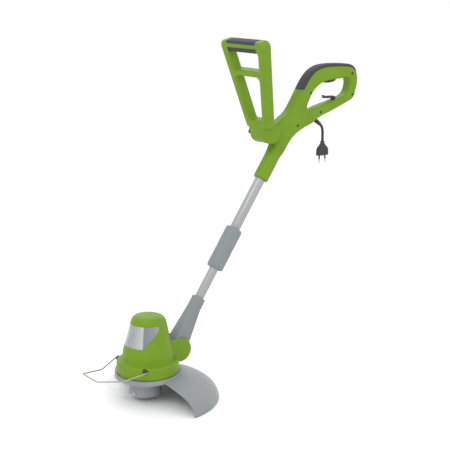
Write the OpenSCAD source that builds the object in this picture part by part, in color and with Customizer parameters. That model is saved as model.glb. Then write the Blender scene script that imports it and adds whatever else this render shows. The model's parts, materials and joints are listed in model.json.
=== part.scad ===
// Electric string trimmer: telescopic shaft, tilting head, loop handle and front handle.
// Heights are first given above the ground line (bottom of the spool cap) with the
// spool axis at x = 0. The whole model is then moved so that the origin is the middle
// of the rear hand grip. -X is forward, +X is towards the user, +Z is up.

/* [Shaft] */
// Lean of the shaft from vertical, degrees
lean = 35; // [34.5:0.1:35.5]
// Outer radius of the upper tube
upper_tube_r = 12; // [12:0.1:12.5]
// Outer radius of the lower tube
lower_tube_r = 10.6; // [10:0.1:10.6]
// Wall of both tubes
tube_wall = 1; // [0.8:0.1:1]
// Outer radius of the clamp collar
collar_r = 19.8; // [18.6:0.1:20.5]
// Length of the clamp collar
collar_length = 103; // [90:1:106]

/* [Head] */
// Radius of the green skirt around the head
skirt_r = 70; // [69:1:71]
// Height of the top of the motor dome above the ground line
dome_top = 180; // [179.5:0.5:183]
// Wall of the head shells
head_wall = 2.6; // [2:0.1:3]
// Radius of the tilt hub
hub_r = 27; // [26:0.5:27.5]
// Half width of the tilt hub across both cheeks
hub_half = 26; // [25.5:0.5:28]

/* [Guard and spool] */
// Radius of the rim of the guard
guard_r = 165; // [160:1:168]
// Height of the lower edge of the guard rim
guard_rim_z = -13; // [-16:1:-13]
// Radius of the spool head
spool_head_r = 35.5; // [34.5:0.5:36.5]
// Diameter of the nylon line
line_d = 1.6; // [1.2:0.1:2]
// Diameter of the wire of the edge guide
guide_wire_d = 2.8; // [2:0.1:3]

/* [Rear handle] */
// Half thickness of the handle shells
handle_half = 15; // [14:0.5:15.5]
// Depth of the soft grip cover
grip_depth = 7; // [6:1:11]
// Length of the trigger behind its pivot
trigger_length = 49; // [44:1:49]

/* [Front handle] */
// Lean of the front handle towards the front, degrees
front_lean = 14; // [10:0.5:15]
// Half width of the front handle at its grip bar
front_half_w = 75.5; // [74:0.5:78]
// Depth of the front handle frame
front_depth = 27; // [25:1:27]
// Height of the front handle above its pivot
front_height = 223; // [215:1:230]

/* [Supply cord] */
// Diameter of the supply cord
cord_d = 6.5; // [6:0.1:7.5]

/* [Hidden] */
$fn = 64;
// Round steps used where a hull is made
hull_fn = 32;
// Middle of the rear grip: the origin of the finished part
grip_x = 545;
grip_z = 688;
// Foot of the shaft axis, beside the tilt pivot
shaft_x = 70;
shaft_z = 78;
// Distances along the shaft axis from its foot
bracket_top_s = 141;
collar_s = 217;
upper_tube_s = 262;
neck_s = 452;
upper_tube_end_s = 560;
lower_tube_s = 60;
lower_tube_end_s = 475;
neck_r = 18;
// Tilt pivot of the head
pivot_x = 83;
pivot_z = 88;
knuckle_half = 19.5;
bracket_r = 16;
// Pivot of the front handle
front_x = 343;
front_z = 557;
lug_r = 17;
// Pivot of the trigger
trigger_x = 512;
trigger_z = 676;
// Pivot of the edge guide
guide_x = -35;
guide_z = 72.5;
// Shell wall of the rear handle
handle_wall = 5;
// The housing stands a little behind the spool axis, and its dome leans back
head_x = 8;
dome_lean = 2.5;
dome_base_z = 70;
// Spare room between pieces that move past each other
gap = 0.3;
// Radial play of pins and shafts in their bores
play = 0.05;

// Length of the tapered strain relief outside the handle
boot_length = 24;
// Where the supply cord leaves the handle, and its angle below the horizontal there
exit_x = 494;
exit_z = 575;
exit_angle = 36.5;
// Route of the supply cord from the strain relief to the plug, in the origin's frame
cord_route = [
    [-31.7, 0, -127.3], [-29.7, 0, -128.9], [-27.8, 0, -130.8], [-26.1, 0, -133],
    [-24.7, 0, -135.5], [-23.6, 0, -138.3], [-22.8, 0, -141.3], [-22.3, 0, -144.5],
    [-22.1, 0, -148], [-22, 0, -151.5], [-22, 0, -155], [-22, 0, -158.5],
    [-22, 0, -162], [-22, 0, -165.5], [-22, 0, -169]
];
plug_x = -22;
plug_z = -169;
// Plug pins: half their spacing, length outside the body, reach below the cord's end
pin_x = 9.3;
pin_length = 19;
pin_tip = 53.5;
pin_root_r = 2.6;

// Colours
green = [0.49, 0.62, 0.18];
grey = [0.57, 0.60, 0.61];
dark = [0.24, 0.24, 0.26];
silver = [0.74, 0.75, 0.77];
steel = [0.62, 0.63, 0.66];
copper = [0.72, 0.42, 0.22];
brass = [0.78, 0.62, 0.30];

// ---------- helpers ----------

// Moves ground-line coordinates into the finished part's frame
module placed() { translate([-grip_x, 0, -grip_z]) children(); }
// Stands children on the shaft axis at distance s, +Z up the shaft
module on_shaft(s) {
    translate([shaft_x + s * sin(lean), 0, shaft_z + s * cos(lean)])
        rotate([0, lean, 0]) children();
}
// A cylinder along Y, from y0 to y1
module y_cylinder(x, z, r, y0, y1) {
    translate([x, y0, z]) rotate([-90, 0, 0]) cylinder(r = r, h = y1 - y0);
}
// Extrudes an XZ outline to both sides, h each way
module both_extrude(h) { rotate([90, 0, 0]) linear_extrude(2 * h, center = true) children(); }
// Keeps one side of a body: -1 keeps y < 0, 1 keeps y > 0
module keep_side(side) {
    intersection() {
        children();
        translate([0, side * 200, 300]) cube([1600, 400, 1600], center = true);
    }
}
// A ring with a rectangular section
module ring(r_out, r_in, h) {
    difference() {
        cylinder(r = r_out, h = h);
        translate([0, 0, -1]) cylinder(r = r_in, h = h + 2);
    }
}

// Closed smooth curve through the points, with n steps a span
function spline_point(a, b, c, d, t) =
    0.5 * (2 * b + (c - a) * t + (2 * a - 5 * b + 4 * c - d) * t * t
    + (3 * b - a - 3 * c + d) * t * t * t);
function closed_spline(p, n) = [
    for (i = [0 : len(p) - 1], k = [0 : n - 1])
        spline_point(p[(i + len(p) - 1) % len(p)], p[i], p[(i + 1) % len(p)],
            p[(i + 2) % len(p)], k / n)
];
// Moves each point of a smooth closed outline to its left by d
function normal_2d(a, b) = [a[1] - b[1], b[0] - a[0]] / norm(b - a);
function inset(p, d) = [
    for (i = [0 : len(p) - 1])
        p[i] + d * normal_2d(p[(i + len(p) - 1) % len(p)], p[(i + 1) % len(p)])
];
// Rounds the corners of an open route: reach d to each side, n steps a corner
function corner(a, b, c, d, n) = [
    let (p = b + d * (a - b) / norm(a - b), q = b + d * (c - b) / norm(c - b))
        for (k = [0 : n]) let (t = k / n)
            (1 - t) * (1 - t) * p + 2 * t * (1 - t) * b + t * t * q
];
function rounded_route(p, d, n) = [
    p[0],
    for (i = [1 : len(p) - 2]) each corner(p[i - 1], p[i], p[i + 1], d, n),
    p[len(p) - 1]
];
function unit(v) = v / norm(v);
function tangent(p, i) =
    unit(p[min(i + 1, len(p) - 1)] - p[max(i - 1, 0)]);
// A round tube swept along a route; ref is never parallel to the route
module sweep(p, r, sides, ref) {
    rings = [
        for (i = [0 : len(p) - 1])
            let (t = tangent(p, i), b = unit(cross(t, ref)), c = cross(b, t))
                for (k = [0 : sides - 1])
                    p[i] + r * (cos(360 * k / sides) * b + sin(360 * k / sides) * c)
    ];
    last = (len(p) - 1) * sides;
    faces = concat(
        [[for (k = [0 : sides - 1]) k]],
        [for (i = [0 : len(p) - 2], k = [0 : sides - 1])
            [i * sides + k, (i + 1) * sides + k,
                (i + 1) * sides + (k + 1) % sides, i * sides + (k + 1) % sides]],
        [[for (k = [sides - 1 : -1 : 0]) last + k]]
    );
    polyhedron(points = rings, faces = faces, convexity = 8);
}
// Points of a helix standing on z = 0
function helix(r, height, turns, steps) = [
    for (i = [0 : turns * steps])
        [r * cos(360 * i / steps), r * sin(360 * i / steps), height * i / (turns * steps)]
];

// ---------- rear handle ----------

// Side outline of the handle, from the neck round the rear and over the grip
handle_points = [
    [352, 466], [372, 487], [392, 507], [411, 532], [433, 549], [460, 560.5],
    [479, 567], [491, 574.5], [512, 583], [542, 592], [588, 608], [609, 617],
    [618, 634], [624, 660], [618, 687], [604, 699], [580, 703], [540, 705],
    [505, 703], [479, 693], [459, 675], [442, 651], [423, 622], [409, 603],
    [391, 589.5], [370, 578.5], [343, 574], [331, 569], [326, 557], [331, 545],
    [343, 540], [351, 541], [360, 537], [363, 529], [355, 512], [341, 489],
    [335, 475], [340, 464]
];
window_points = [
    [462, 605], [468, 622], [480, 641], [497, 655], [520, 664], [560, 667],
    [588, 668], [597, 662], [597, 647], [590, 633], [575, 624], [545, 616],
    [505, 607.5], [477, 600.5]
];
handle_outline = closed_spline(handle_points, 3);
window_outline = closed_spline(window_points, 3);
// The closed outlines run counter-clockwise and clockwise, so a positive inset is inwards
module loop_2d(d) {
    difference() {
        polygon(inset(handle_outline, d));
        polygon(inset(window_outline, d));
    }
}
// Region of the grip cover: an outer band of the loop from the front of the grip
// to its rear end
module grip_zone_2d(depth) {
    difference() {
        polygon([[425, 649], [455, 649], [520, 655], [560, 680], [612, 680], [622, 698],
            [620, 720], [430, 720]]);
        polygon(inset(handle_outline, depth));
    }
}
// The handle body in three stacked layers, which round its long edges
module handle_block() {
    both_extrude(handle_half - 5) loop_2d(0);
    both_extrude(handle_half - 2) loop_2d(2);
    both_extrude(handle_half) loop_2d(5);
}
module grip_core() {
    both_extrude(handle_half - 2.5) polygon(inset(handle_outline, 2.5));
}
module grip_volume() {
    intersection() {
        handle_block();
        both_extrude(handle_half + 1) grip_zone_2d(grip_depth);
    }
}
module trigger_slot() {
    translate([trigger_x - 7, -6.6, trigger_z - 24]) cube([trigger_length + 10, 13.2, 26]);
}
screw_places = [[430, 566], [470, 640], [502, 592], [605, 627], [603, 678]];
// Sleeve round the upper tube, with its lower edge broken
module neck() {
    rotate_extrude() polygon([[0, 0], [neck_r - 2, 0], [neck_r, 2.5], [neck_r, 75], [0, 75]]);
}
module handle_shell(side) {
    keep_side(side) difference() {
        union() {
            difference() {
                handle_block();
                difference() {
                    grip_volume();
                    grip_core();
                }
                both_extrude(handle_half - 4) loop_2d(handle_wall);
            }
            on_shaft(neck_s) neck();
            y_cylinder(front_x, front_z, lug_r, -17.4, 17.4);
            for (p = screw_places) y_cylinder(p[0], p[1], 5, -12, 12);
            y_cylinder(trigger_x, trigger_z, 4.5, -12, -6.4);
            y_cylinder(trigger_x, trigger_z, 4.5, 6.4, 12);
        }
        on_shaft(neck_s - 1) cylinder(r = upper_tube_r + play, h = 112);
        y_cylinder(front_x, front_z, 3 + play, -30, 30);
        y_cylinder(trigger_x, trigger_z, 2, -12, 12);
        trigger_slot();
        for (p = screw_places) {
            y_cylinder(p[0], p[1], 1.6, -16, 10.5);
            y_cylinder(p[0], p[1], 3.3, -16, -12);
        }
        translate([exit_x, 0, exit_z]) rotate([0, 90 + exit_angle, 0])
            union() {
                translate([0, 0, -14]) cylinder(r = 5.1, h = 30);
                translate([0, 0, 1]) cylinder(r = 6.3, h = 20);
            }
        translate([550.8, -5.2, 612]) cube([8.4, 10.4, 12]);
    }
}
module handle_shell_left() color(green) placed() handle_shell(-1);
module handle_shell_right() color(green) placed() handle_shell(1);
module grip_cover() color(dark) placed() difference() {
    grip_volume();
    grip_core();
}
module handle_screws() color(steel) placed() for (p = screw_places) {
    y_cylinder(p[0], p[1], 1.5, -12, 10);
    y_cylinder(p[0], p[1], 3.1, -14.2, -12);
}
module micro_switch() color(dark) placed() {
    translate([530, -8, 690.3]) cube([28, 16, 8.9]);
    translate([546, -2, 688]) cube([4, 4, 3]);
}
trigger_end = trigger_x + trigger_length;
trigger_points = [
    [505, 672], [508, 681], [516, 683], [trigger_end - 5, 682], [trigger_end, 678],
    [trigger_end - 1, 670], [trigger_end - 7, 662], [535, 659], [519, 661], [509, 665]
];
module trigger() color(dark) placed() difference() {
    both_extrude(6) polygon(closed_spline(trigger_points, 3));
    y_cylinder(trigger_x, trigger_z, 2 + play, -10, 10);
}
module trigger_spring() color(steel) placed()
    translate([538, 0, 683.6]) sweep(helix(2.6, 6, 4, 12), 0.4, 6, [0, 0, 1]);
module trigger_pin() color(steel) placed()
    y_cylinder(trigger_x, trigger_z, 2, -11.9, 11.9);
// Hook in the handle window that holds a loop of extension cable
module cable_hook() color(dark) placed() both_extrude(5) polygon([
    [551, 612.5], [559, 612.5], [559, 621], [555, 626.5], [527, 627.5], [523, 630],
    [521, 628], [524, 622.5], [549, 621.5], [551, 619]
]);

// ---------- supply cord ----------

module strain_relief() color(dark) placed()
    translate([exit_x, 0, exit_z]) rotate([0, 90 + exit_angle, 0]) {
        translate([0, 0, -12]) cylinder(r = 5, h = 13);
        cylinder(r1 = 5, r2 = cord_d / 2 + 0.9, h = boot_length);
        for (k = [0 : 4])
            translate([0, 0, 2.5 + 4.4 * k])
                cylinder(r1 = 5.9 - 0.22 * k, r2 = 5.6 - 0.22 * k, h = 2.4);
    }
module supply_cord() color(dark) sweep(cord_route, cord_d / 2, 12, [0, 1, 0]);
// Flat two-pin plug: a body tapered towards the cord
module plug_body() color(dark) translate([plug_x, 0, plug_z]) difference() {
    hull() {
        translate([0, 0, -5]) cylinder(r = 5.2, h = 5, $fn = hull_fn);
        for (x = [-11, 11])
            translate([x, 0, -34.5]) cylinder(r = 6.8, h = 16, $fn = hull_fn);
    }
    for (x = [-pin_x, pin_x]) translate([x, 0, -36]) cylinder(r = pin_root_r, h = 12);
}
module plug_pins() color(steel) translate([plug_x, 0, plug_z])
    for (x = [-pin_x, pin_x]) {
        translate([x, 0, -pin_tip]) cylinder(r = 2, h = pin_length);
        translate([x, 0, pin_length - pin_tip]) cylinder(r = pin_root_r, h = 10.5);
    }
// Inner lead from the strain relief to the switch and down into the shaft
module handle_cable() color(dark) placed() {
    sweep(rounded_route([[483, 0, 583.1], [474, 0, 585], [455, 0, 583], [448, 0, 600],
        [458, 0, 640], [478, 0, 668], [505, 0, 693], [529, 0, 695]], 6, 4),
        2.6, 8, [0, 1, 0]);
}

// ---------- front handle ----------

// The front handle in its own frame: pivot at the origin, +Z up the handle
module on_front() {
    translate([front_x, 0, front_z]) rotate([0, -front_lean, 0]) children();
}
front_back = 4.5;
front_front = front_back - front_depth;
// Half width of the frame at height z above the pivot: both sides lean out
front_slope = 0.205;
function front_w(z) = front_half_w - front_slope * (front_height - 18 - z);
// Y of a round corner of radius r that touches a side line inset by d, at height z
side_run = sqrt(1 + front_slope * front_slope);
function side_y(z, r, d) = front_w(z) - d - r * side_run;
// Heights of the round corners of the two windows
upper_window = [front_height - 64.5, front_height - 31];
lower_window = [40, front_height - 93];
// The soft inserts: how far each reaches down from the top of the frame
upper_insert = 6.5;
lower_insert = [15.5, 33];
insert_depth = 2.5;
bar_height = 27;
hub_half_front = 27;
hub_r_front = 25;
slot_r = 19;
slot_half = 18;
// Outline of the frame seen from the front, with its windows
module round_pair(z, r, d) {
    for (s = [-1, 1]) translate([s * side_y(z, r, d), z]) circle(r = r, $fn = 48);
}
module front_outline_2d() {
    difference() {
        hull() {
            round_pair(front_height - 14, 14, 0);
            round_pair(24, 8, 0);
        }
        hull() {
            round_pair(upper_window[0], 4, 20);
            round_pair(upper_window[1], 4, 20.5);
        }
        hull() {
            round_pair(lower_window[0], 4, 18.5);
            round_pair(lower_window[1], 10, 19.5);
        }
    }
}
module front_block() {
    translate([front_back, 0, 0]) rotate([90, 0, -90])
        linear_extrude(front_depth) front_outline_2d();
}
// Zone of a soft insert between two depths below the top, grown for the seat
module insert_zone(top, bottom) {
    difference() {
        translate([front_front - 1, -51, front_height - bottom])
            cube([front_depth + 2, 102, bottom - top + 1]);
        translate([front_front + insert_depth, -60, front_height - bar_height + insert_depth])
            cube([front_depth - 2 * insert_depth, 120, bar_height - insert_depth - 4.5]);
    }
}
// Slot of the yoke from the side: a bore round the lug, open to the rear and below
module yoke_slot_2d() {
    circle(r = slot_r, $fn = 64);
    polygon([[0, 0], [-50, -60], [60, -70], [60, 26], [0, 26]]);
}
module front_handle_frame() color(green) placed() on_front() difference() {
    union() {
        front_block();
        hull() {
            rotate([90, 0, 0])
                cylinder(r = hub_r_front, h = 2 * hub_half_front, center = true);
            translate([front_front, -hub_half_front, 20])
                cube([front_depth, 2 * hub_half_front, 6]);
        }
    }
    rotate([90, 0, 0]) linear_extrude(2 * slot_half, center = true) yoke_slot_2d();
    translate([0, 40, 0]) rotate([90, 0, 0]) cylinder(r = 3 + play, h = 60);
    translate([0, -17, 0]) rotate([90, 0, 0]) cylinder(r = 6.5 + play, h = 7 + play);
    insert_zone(0, upper_insert);
    insert_zone(lower_insert[0], lower_insert[1]);
}
module front_grip(top, bottom) {
    intersection() {
        front_block();
        insert_zone(top, bottom);
    }
}
module front_grip_upper() color(dark) placed() on_front() front_grip(0, upper_insert);
module front_grip_lower() color(dark) placed() on_front()
    front_grip(lower_insert[0], lower_insert[1]);
// Pivot bolt, its head moulded into the near cheek
module front_handle_bolt() color(steel) placed() on_front() rotate([90, 0, 0]) {
    translate([0, 0, -42]) cylinder(r = 3, h = 64);
    translate([0, 0, 21]) cylinder(r = 6.5, h = 3);
}
knob_y = hub_half_front + 5;
module front_handle_knob() color(dark) placed() on_front() difference() {
    union() {
        translate([0, knob_y - 4, 0]) rotate([-90, 0, 0]) cylinder(r = 9, h = 5);
        translate([0, knob_y, 0]) rotate([-90, 0, 0]) cylinder(r = 13, h = 14);
        for (a = [0 : 60 : 300]) rotate([0, a, 0])
            translate([12.3, knob_y, 0]) rotate([-90, 0, 0]) cylinder(r = 2.8, h = 14);
    }
    rotate([-90, 0, 0]) cylinder(r = 3 + play, h = 43);
    translate([0, knob_y + 2, 0]) rotate([-90, 0, 0]) cylinder(r = 5.5, h = 6, $fn = 6);
}
module knob_insert_nut() color(brass) placed() on_front() difference() {
    translate([0, knob_y + 2, 0]) rotate([-90, 0, 0]) cylinder(r = 5.5, h = 6, $fn = 6);
    rotate([-90, 0, 0]) cylinder(r = 3 + play, h = 60);
}

// ---------- shaft ----------

module upper_tube() color(silver) placed() on_shaft(upper_tube_s)
    ring(upper_tube_r, upper_tube_r - tube_wall, upper_tube_end_s - upper_tube_s);
module clamp_body() color(dark) placed() on_shaft(collar_s + 7) difference() {
    cylinder(r = 14.6, h = collar_length - 14);
    translate([0, 0, -1]) cylinder(r = lower_tube_r + play, h = 60);
    translate([0, 0, upper_tube_s - collar_s - 7])
        cylinder(r = upper_tube_r, h = collar_length);
}
module clamp_collar() color(grey) placed() on_shaft(collar_s) difference() {
    union() {
        translate([0, 0, 4]) cylinder(r = collar_r, h = collar_length - 8);
        cylinder(r1 = collar_r - 2.5, r2 = collar_r, h = 4);
        translate([0, 0, collar_length - 4])
            cylinder(r1 = collar_r, r2 = collar_r - 2.5, h = 4);
    }
    translate([0, 0, -1]) cylinder(r = lower_tube_r + 0.6, h = 10);
    translate([0, 0, 6.7]) cylinder(r = 14.7, h = collar_length - 13.4);
    translate([0, 0, collar_length - 8]) cylinder(r = upper_tube_r + 0.3, h = 10);
}
module lower_tube() color(silver) placed() on_shaft(lower_tube_s)
    ring(lower_tube_r, lower_tube_r - tube_wall, lower_tube_end_s - lower_tube_s);
module tube_glider() color(dark) placed() on_shaft(lower_tube_end_s) difference() {
    cylinder(r = upper_tube_r - tube_wall - play, h = 12);
    translate([0, 0, -1]) cylinder(r = 6, h = 14);
}
module coiled_cable() color(dark) placed() on_shaft(lower_tube_s + 10)
    cylinder(r = 6.5, h = 380);
module tilt_bracket() color(grey) placed() difference() {
    union() {
        hull() {
            translate([pivot_x, 0, pivot_z]) rotate([90, 0, 0])
                cylinder(r = 22, h = 2 * knuckle_half - 4, center = true, $fn = hull_fn);
            on_shaft(bracket_top_s - 26) cylinder(r = bracket_r - 0.2, h = 2, $fn = hull_fn);
        }
        translate([pivot_x, 0, pivot_z]) rotate([90, 0, 0])
            cylinder(r = 24, h = 2 * knuckle_half, center = true);
        on_shaft(0) rotate_extrude() polygon([[0, bracket_top_s - 25],
            [bracket_r, bracket_top_s - 25], [bracket_r, bracket_top_s - 2],
            [bracket_r - 1.5, bracket_top_s], [0, bracket_top_s]]);
    }
    on_shaft(lower_tube_s) cylinder(r = lower_tube_r, h = 120);
    on_shaft(35) cylinder(r = 4, h = 40);
    y_cylinder(pivot_x, pivot_z, 5 + play, -30, 30);
    y_cylinder(pivot_x, pivot_z, 9, 9, 30);
    on_shaft(bracket_top_s - 20) rotate([-90, 0, 0]) {
        translate([0, 0, 5]) cylinder(r = 1.6, h = 20);
        translate([0, 0, 13.5]) cylinder(r = 3.4, h = 10);
    }
}
module bracket_screw() color(steel) placed() on_shaft(bracket_top_s - 20)
    rotate([-90, 0, 0]) {
        translate([0, 0, lower_tube_r + 0.1]) cylinder(r = 1.5, h = 13.6 - lower_tube_r);
        translate([0, 0, 13.5]) cylinder(r = 3.1, h = 1.8);
    }

// ---------- head ----------

dome_profile = [
    [57, dome_base_z], [57, 84], [55.8, 98], [53.2, 111], [49.9, 123], [46.7, 135],
    [44, 146.5], [41.6, 158], [38.9, 168], [36.8, 172.5], [33.8, 175.8],
    [29.5, dome_top - 1.8], [24, dome_top - 0.5], [18, dome_top]
];
skirt_profile = [[skirt_r, 50], [skirt_r, 73.5], [skirt_r - 1.5, 76.5], [skirt_r - 5, 78.2],
    [56, 80.5]];
module dome_solid(d) {
    translate([head_x, 0, 80]) rotate([0, dome_lean, 0]) translate([0, 0, -80])
        rotate_extrude($fn = 96) polygon(concat(
            [[0, dome_base_z - d]], [[dome_profile[0][0] - d, dome_base_z - d]],
            [for (i = [1 : len(dome_profile) - 1]) dome_profile[i] - [d, d]],
            [[0, dome_top - d]]));
}
module skirt_solid(d) {
    translate([head_x, 0, 0]) rotate_extrude($fn = 96) polygon(concat(
        [[0, 50 - 2 * d]], [[skirt_r - d, 50 - 2 * d]],
        [for (i = [1 : len(skirt_profile) - 1]) skirt_profile[i] - [d, d]],
        [[0, 81 - d]]));
}
module hub_block() {
    hull() {
        y_cylinder(pivot_x, pivot_z, hub_r, -hub_half, hub_half);
        translate([35, -hub_half, pivot_z - hub_r]) cube([5, 2 * hub_half, 2 * hub_r - 4]);
    }
}
// Slot between the cheeks where the tilt bracket swings
module hub_slot() {
    y_cylinder(pivot_x, pivot_z, hub_r + 1.5, -knuckle_half - gap, knuckle_half + gap);
    translate([pivot_x, -knuckle_half - gap, pivot_z - hub_r - 1.5])
        cube([60, 2 * (knuckle_half + gap), 90]);
    translate([shaft_x - 6, -knuckle_half - gap, pivot_z])
        cube([60, 2 * (knuckle_half + gap), 70]);
}
head_screw_places = [[-44, 70], [27, 170], [-20, 170], [46, 70]];
module head_shell(side) {
    keep_side(side) difference() {
        union() {
            difference() {
                union() {
                    dome_solid(0);
                    skirt_solid(0);
                    hub_block();
                }
                dome_solid(head_wall);
                skirt_solid(head_wall);
            }
            intersection() {
                union() {
                    dome_solid(0);
                    skirt_solid(0);
                }
                for (p = head_screw_places) y_cylinder(p[0], p[1], 4.5, -80, 80);
            }
        }
        hub_slot();
        y_cylinder(pivot_x, pivot_z, 5, -24, 24);
        y_cylinder(pivot_x, pivot_z, 8 + play, 15, 40);
        band_shell();
        cylinder(r = 27.2, h = 158.6);
        for (y = [-1, 1]) y_cylinder(guide_x, guide_z, bush_r, min(y * 40, y * 90),
            max(y * 40, y * 90));
        for (p = head_screw_places) y_cylinder(p[0], p[1], 1.6, -12, 12);
    }
}
// The silver band: a shell around the front of the dome, 47 mm tall, that tapers
// towards each side
module band_region() {
    // Seen from the side: full height in front, then a diagonal lower edge
    rotate([90, 0, 0]) linear_extrude(200, center = true)
        polygon([[-70, 115.5], [-29, 115.5], [11, 154], [11, 163], [-70, 163]]);
}
module band_shell() {
    intersection() {
        difference() {
            dome_solid(-0.6);
            dome_solid(1.2);
        }
        band_region();
    }
}
module silver_band() color(silver) placed() band_shell();
module head_shell_left() color(green) placed() head_shell(-1);
module head_shell_right() color(green) placed() head_shell(1);
module head_screws() color(steel) placed() for (p = head_screw_places)
    y_cylinder(p[0], p[1], 1.5, -11.5, 11.5);
module tilt_pin() color(steel) placed() y_cylinder(pivot_x, pivot_z, 5, -23.5, 8);
module tilt_button() color(dark) placed() {
    y_cylinder(pivot_x, pivot_z, 8, 14.5, hub_half + 3);
    y_cylinder(pivot_x, pivot_z, 6.5, hub_half + 3, hub_half + 4);
}
module tilt_button_spring() color(steel) placed()
    translate([pivot_x, 9.4, pivot_z]) rotate([-90, 0, 0])
        sweep(helix(5.6, 4.6, 3, 14), 0.4, 6, [0, 0, 1]);
// Bottom plate of the head, with the lower bearing seat
module motor_plate() color(dark) placed() difference() {
    union() {
        translate([head_x, 0, 53]) cylinder(r = skirt_r - head_wall - 0.2, h = 3);
        translate([0, 0, 55.5]) cylinder(r = 15, h = 13.5);
    }
    translate([0, 0, 52]) cylinder(r = 9.4, h = 20);
    translate([0, 0, 62]) cylinder(r = 11, h = 10);
}
// Frame that holds the stator and the upper bearing
motor_r = 26.4;
module motor_frame() color(dark) placed() difference() {
    union() {
        translate([0, 0, 84]) cylinder(r = motor_r, h = 74);
        translate([0, 0, 157.5]) cylinder(r = 14, h = 14.5);
    }
    translate([0, 0, 83]) cylinder(r = motor_r - 2, h = 72);
    translate([0, 0, 146]) cylinder(r = 9.4, h = 30);
    translate([0, 0, 162]) cylinder(r = 11, h = 12);
    for (s = [-1, 1]) translate([s * 29, 0, 146]) cube([20, 20, 16], center = true);
}
module stator() color(copper) placed() {
    translate([0, 0, 94]) ring(motor_r - 2.1, 14.5, 42);
    for (z = [89, 136]) translate([0, 0, z]) ring(22, 16, 5);
}
module carbon_brushes() color(dark) placed() for (s = [-1, 1])
    translate([s < 0 ? -23 : 9.4, -3.5, 147]) cube([13.6, 7, 6]);
module bearings() color(steel) placed() {
    translate([0, 0, 62]) ring(11, 4, 7);
    translate([0, 0, 162]) ring(11, 4, 7);
}

// ---------- guard ----------

// Section of the guard from the head out to the rim, then back underneath
guard_profile = [[60, 46], [91, 40.5], [guard_r - 40, 29], [guard_r - 17, 17],
    [guard_r - 5, 5], [guard_r, -6], [guard_r, guard_rim_z], [guard_r - 3, guard_rim_z],
    [guard_r - 3, -6], [guard_r - 7.5, 3.5], [guard_r - 19, 14.5], [guard_r - 41, 26],
    [90.5, 37.5], [60, 43]];
module guard_sector() {
    difference() {
        rotate([0, 0, -90]) rotate_extrude(angle = 180, $fn = 128) polygon(guard_profile);
        for (s = [-1, 1]) linear_extrude(200, center = true)
            polygon([[-40, s * 200], [-40, s * 50], [-3, s * 50], [28, s * 200]]);
    }
}
guard_screw_angles = [30, 150, 210, 330];
guard_screw_r = 58;
module guard_screw_place(a) {
    translate([head_x, 0, 0]) rotate([0, 0, a]) translate([guard_screw_r, 0, 0]) children();
}
// Line cutter inside the rim: direction, distance of its inner face, screw directions
cutter_angle = 74;
cutter_x = guard_r - 5.9;
cutter_screw_z = -9;
cutter_screw_angles = [cutter_angle - 4, cutter_angle + 4];
module guard() color(grey) placed() difference() {
    union() {
        translate([head_x, 0, 39.5]) cylinder(r = skirt_r + 4.5, h = 10.4);
        guard_sector();
    }
    translate([0, 0, 20]) cylinder(r = 40, h = 40);
    for (a = guard_screw_angles) guard_screw_place(a) translate([0, 0, 38]) {
        cylinder(r = 2.2, h = 14);
        cylinder(r = 3.9, h = 5.1);
    }
    for (a = cutter_screw_angles) rotate([0, 0, a])
        translate([cutter_x - 8, 0, cutter_screw_z]) rotate([0, 90, 0]) cylinder(r = 1.6, h = 30);
}
module guard_screws() color(steel) placed() {
    for (a = guard_screw_angles) guard_screw_place(a) translate([0, 0, 41]) {
        cylinder(r = 3.6, h = 2);
        cylinder(r = 2, h = 12);
    }
}
module line_cutter() color(steel) placed() difference() {
    rotate([0, 0, cutter_angle]) {
        translate([cutter_x, -15, -12.5]) cube([1.2, 30, 8.5]);
        translate([cutter_x - 9, -15, -5.2]) cube([10.2, 30, 1.2]);
    }
    for (a = cutter_screw_angles) rotate([0, 0, a])
        translate([cutter_x - 8, 0, cutter_screw_z]) rotate([0, 90, 0]) cylinder(r = 1.6, h = 30);
}
module cutter_screws() color(steel) placed() for (a = cutter_screw_angles)
    rotate([0, 0, a]) translate([cutter_x - 2, 0, cutter_screw_z]) rotate([0, 90, 0]) {
        cylinder(r = 2.7, h = 1.6);
        cylinder(r = 1.5, h = 8.5);
    }

// ---------- edge guide ----------

guide_r = guide_wire_d / 2;
bush_r = 5.5;
module guide_bushes() color(dark) placed() for (y = [-1, 1]) difference() {
    y_cylinder(guide_x, guide_z, bush_r, min(y * 46, y * 57.4), max(y * 46, y * 57.4));
    y_cylinder(guide_x, guide_z, guide_r + play, min(y * 40, y * 70), max(y * 40, y * 70));
}
guide_half = [[guide_x, 47, guide_z], [guide_x, 64, guide_z], [-84, 46, 59], [-142, 31, 67]];
guide_route = rounded_route(concat(
    [for (p = guide_half) [p[0], -p[1], p[2]]],
    [for (i = [3 : -1 : 0]) guide_half[i]]), 5, 4);
module edge_guide() color(steel) placed() sweep(guide_route, guide_r - 0.01, 12, [0.1, 0, 1]);

// ---------- rotor and spool ----------

module motor_shaft() color(steel) placed() translate([0, 0, 30]) cylinder(r = 4, h = 140.5);
module armature() color(copper) placed() translate([0, 0, 90]) ring(13.6, 4, 48);
module commutator() color(copper) placed() translate([0, 0, 144]) ring(9, 4, 10.5);
module cooling_fan() color(dark) placed() {
    translate([0, 0, 70]) ring(9, 4, 12);
    translate([0, 0, 70]) ring(31, 8.5, 1.6);
    for (a = [0 : 30 : 330]) rotate([0, 0, a])
        translate([8.5, -0.7, 71]) cube([22, 1.4, 10]);
}
module spool_carrier() color(grey) placed() difference() {
    union() {
        translate([0, 0, 37]) cylinder(r = spool_head_r, h = 3);
        translate([0, 0, 30]) ring(spool_head_r, 32.8, 8);
        translate([0, 0, 36]) cylinder(r = 9, h = 20);
    }
    translate([0, 0, 29]) cylinder(r = 4, h = 30);
}
module carrier_nut() color(steel) placed() translate([0, 0, 31]) difference() {
    cylinder(r = 6.6, h = 5, $fn = 6);
    translate([0, 0, -1]) cylinder(r = 4, h = 8);
}
eyelet_angle = 193;
eyelet_z = 6;
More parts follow.
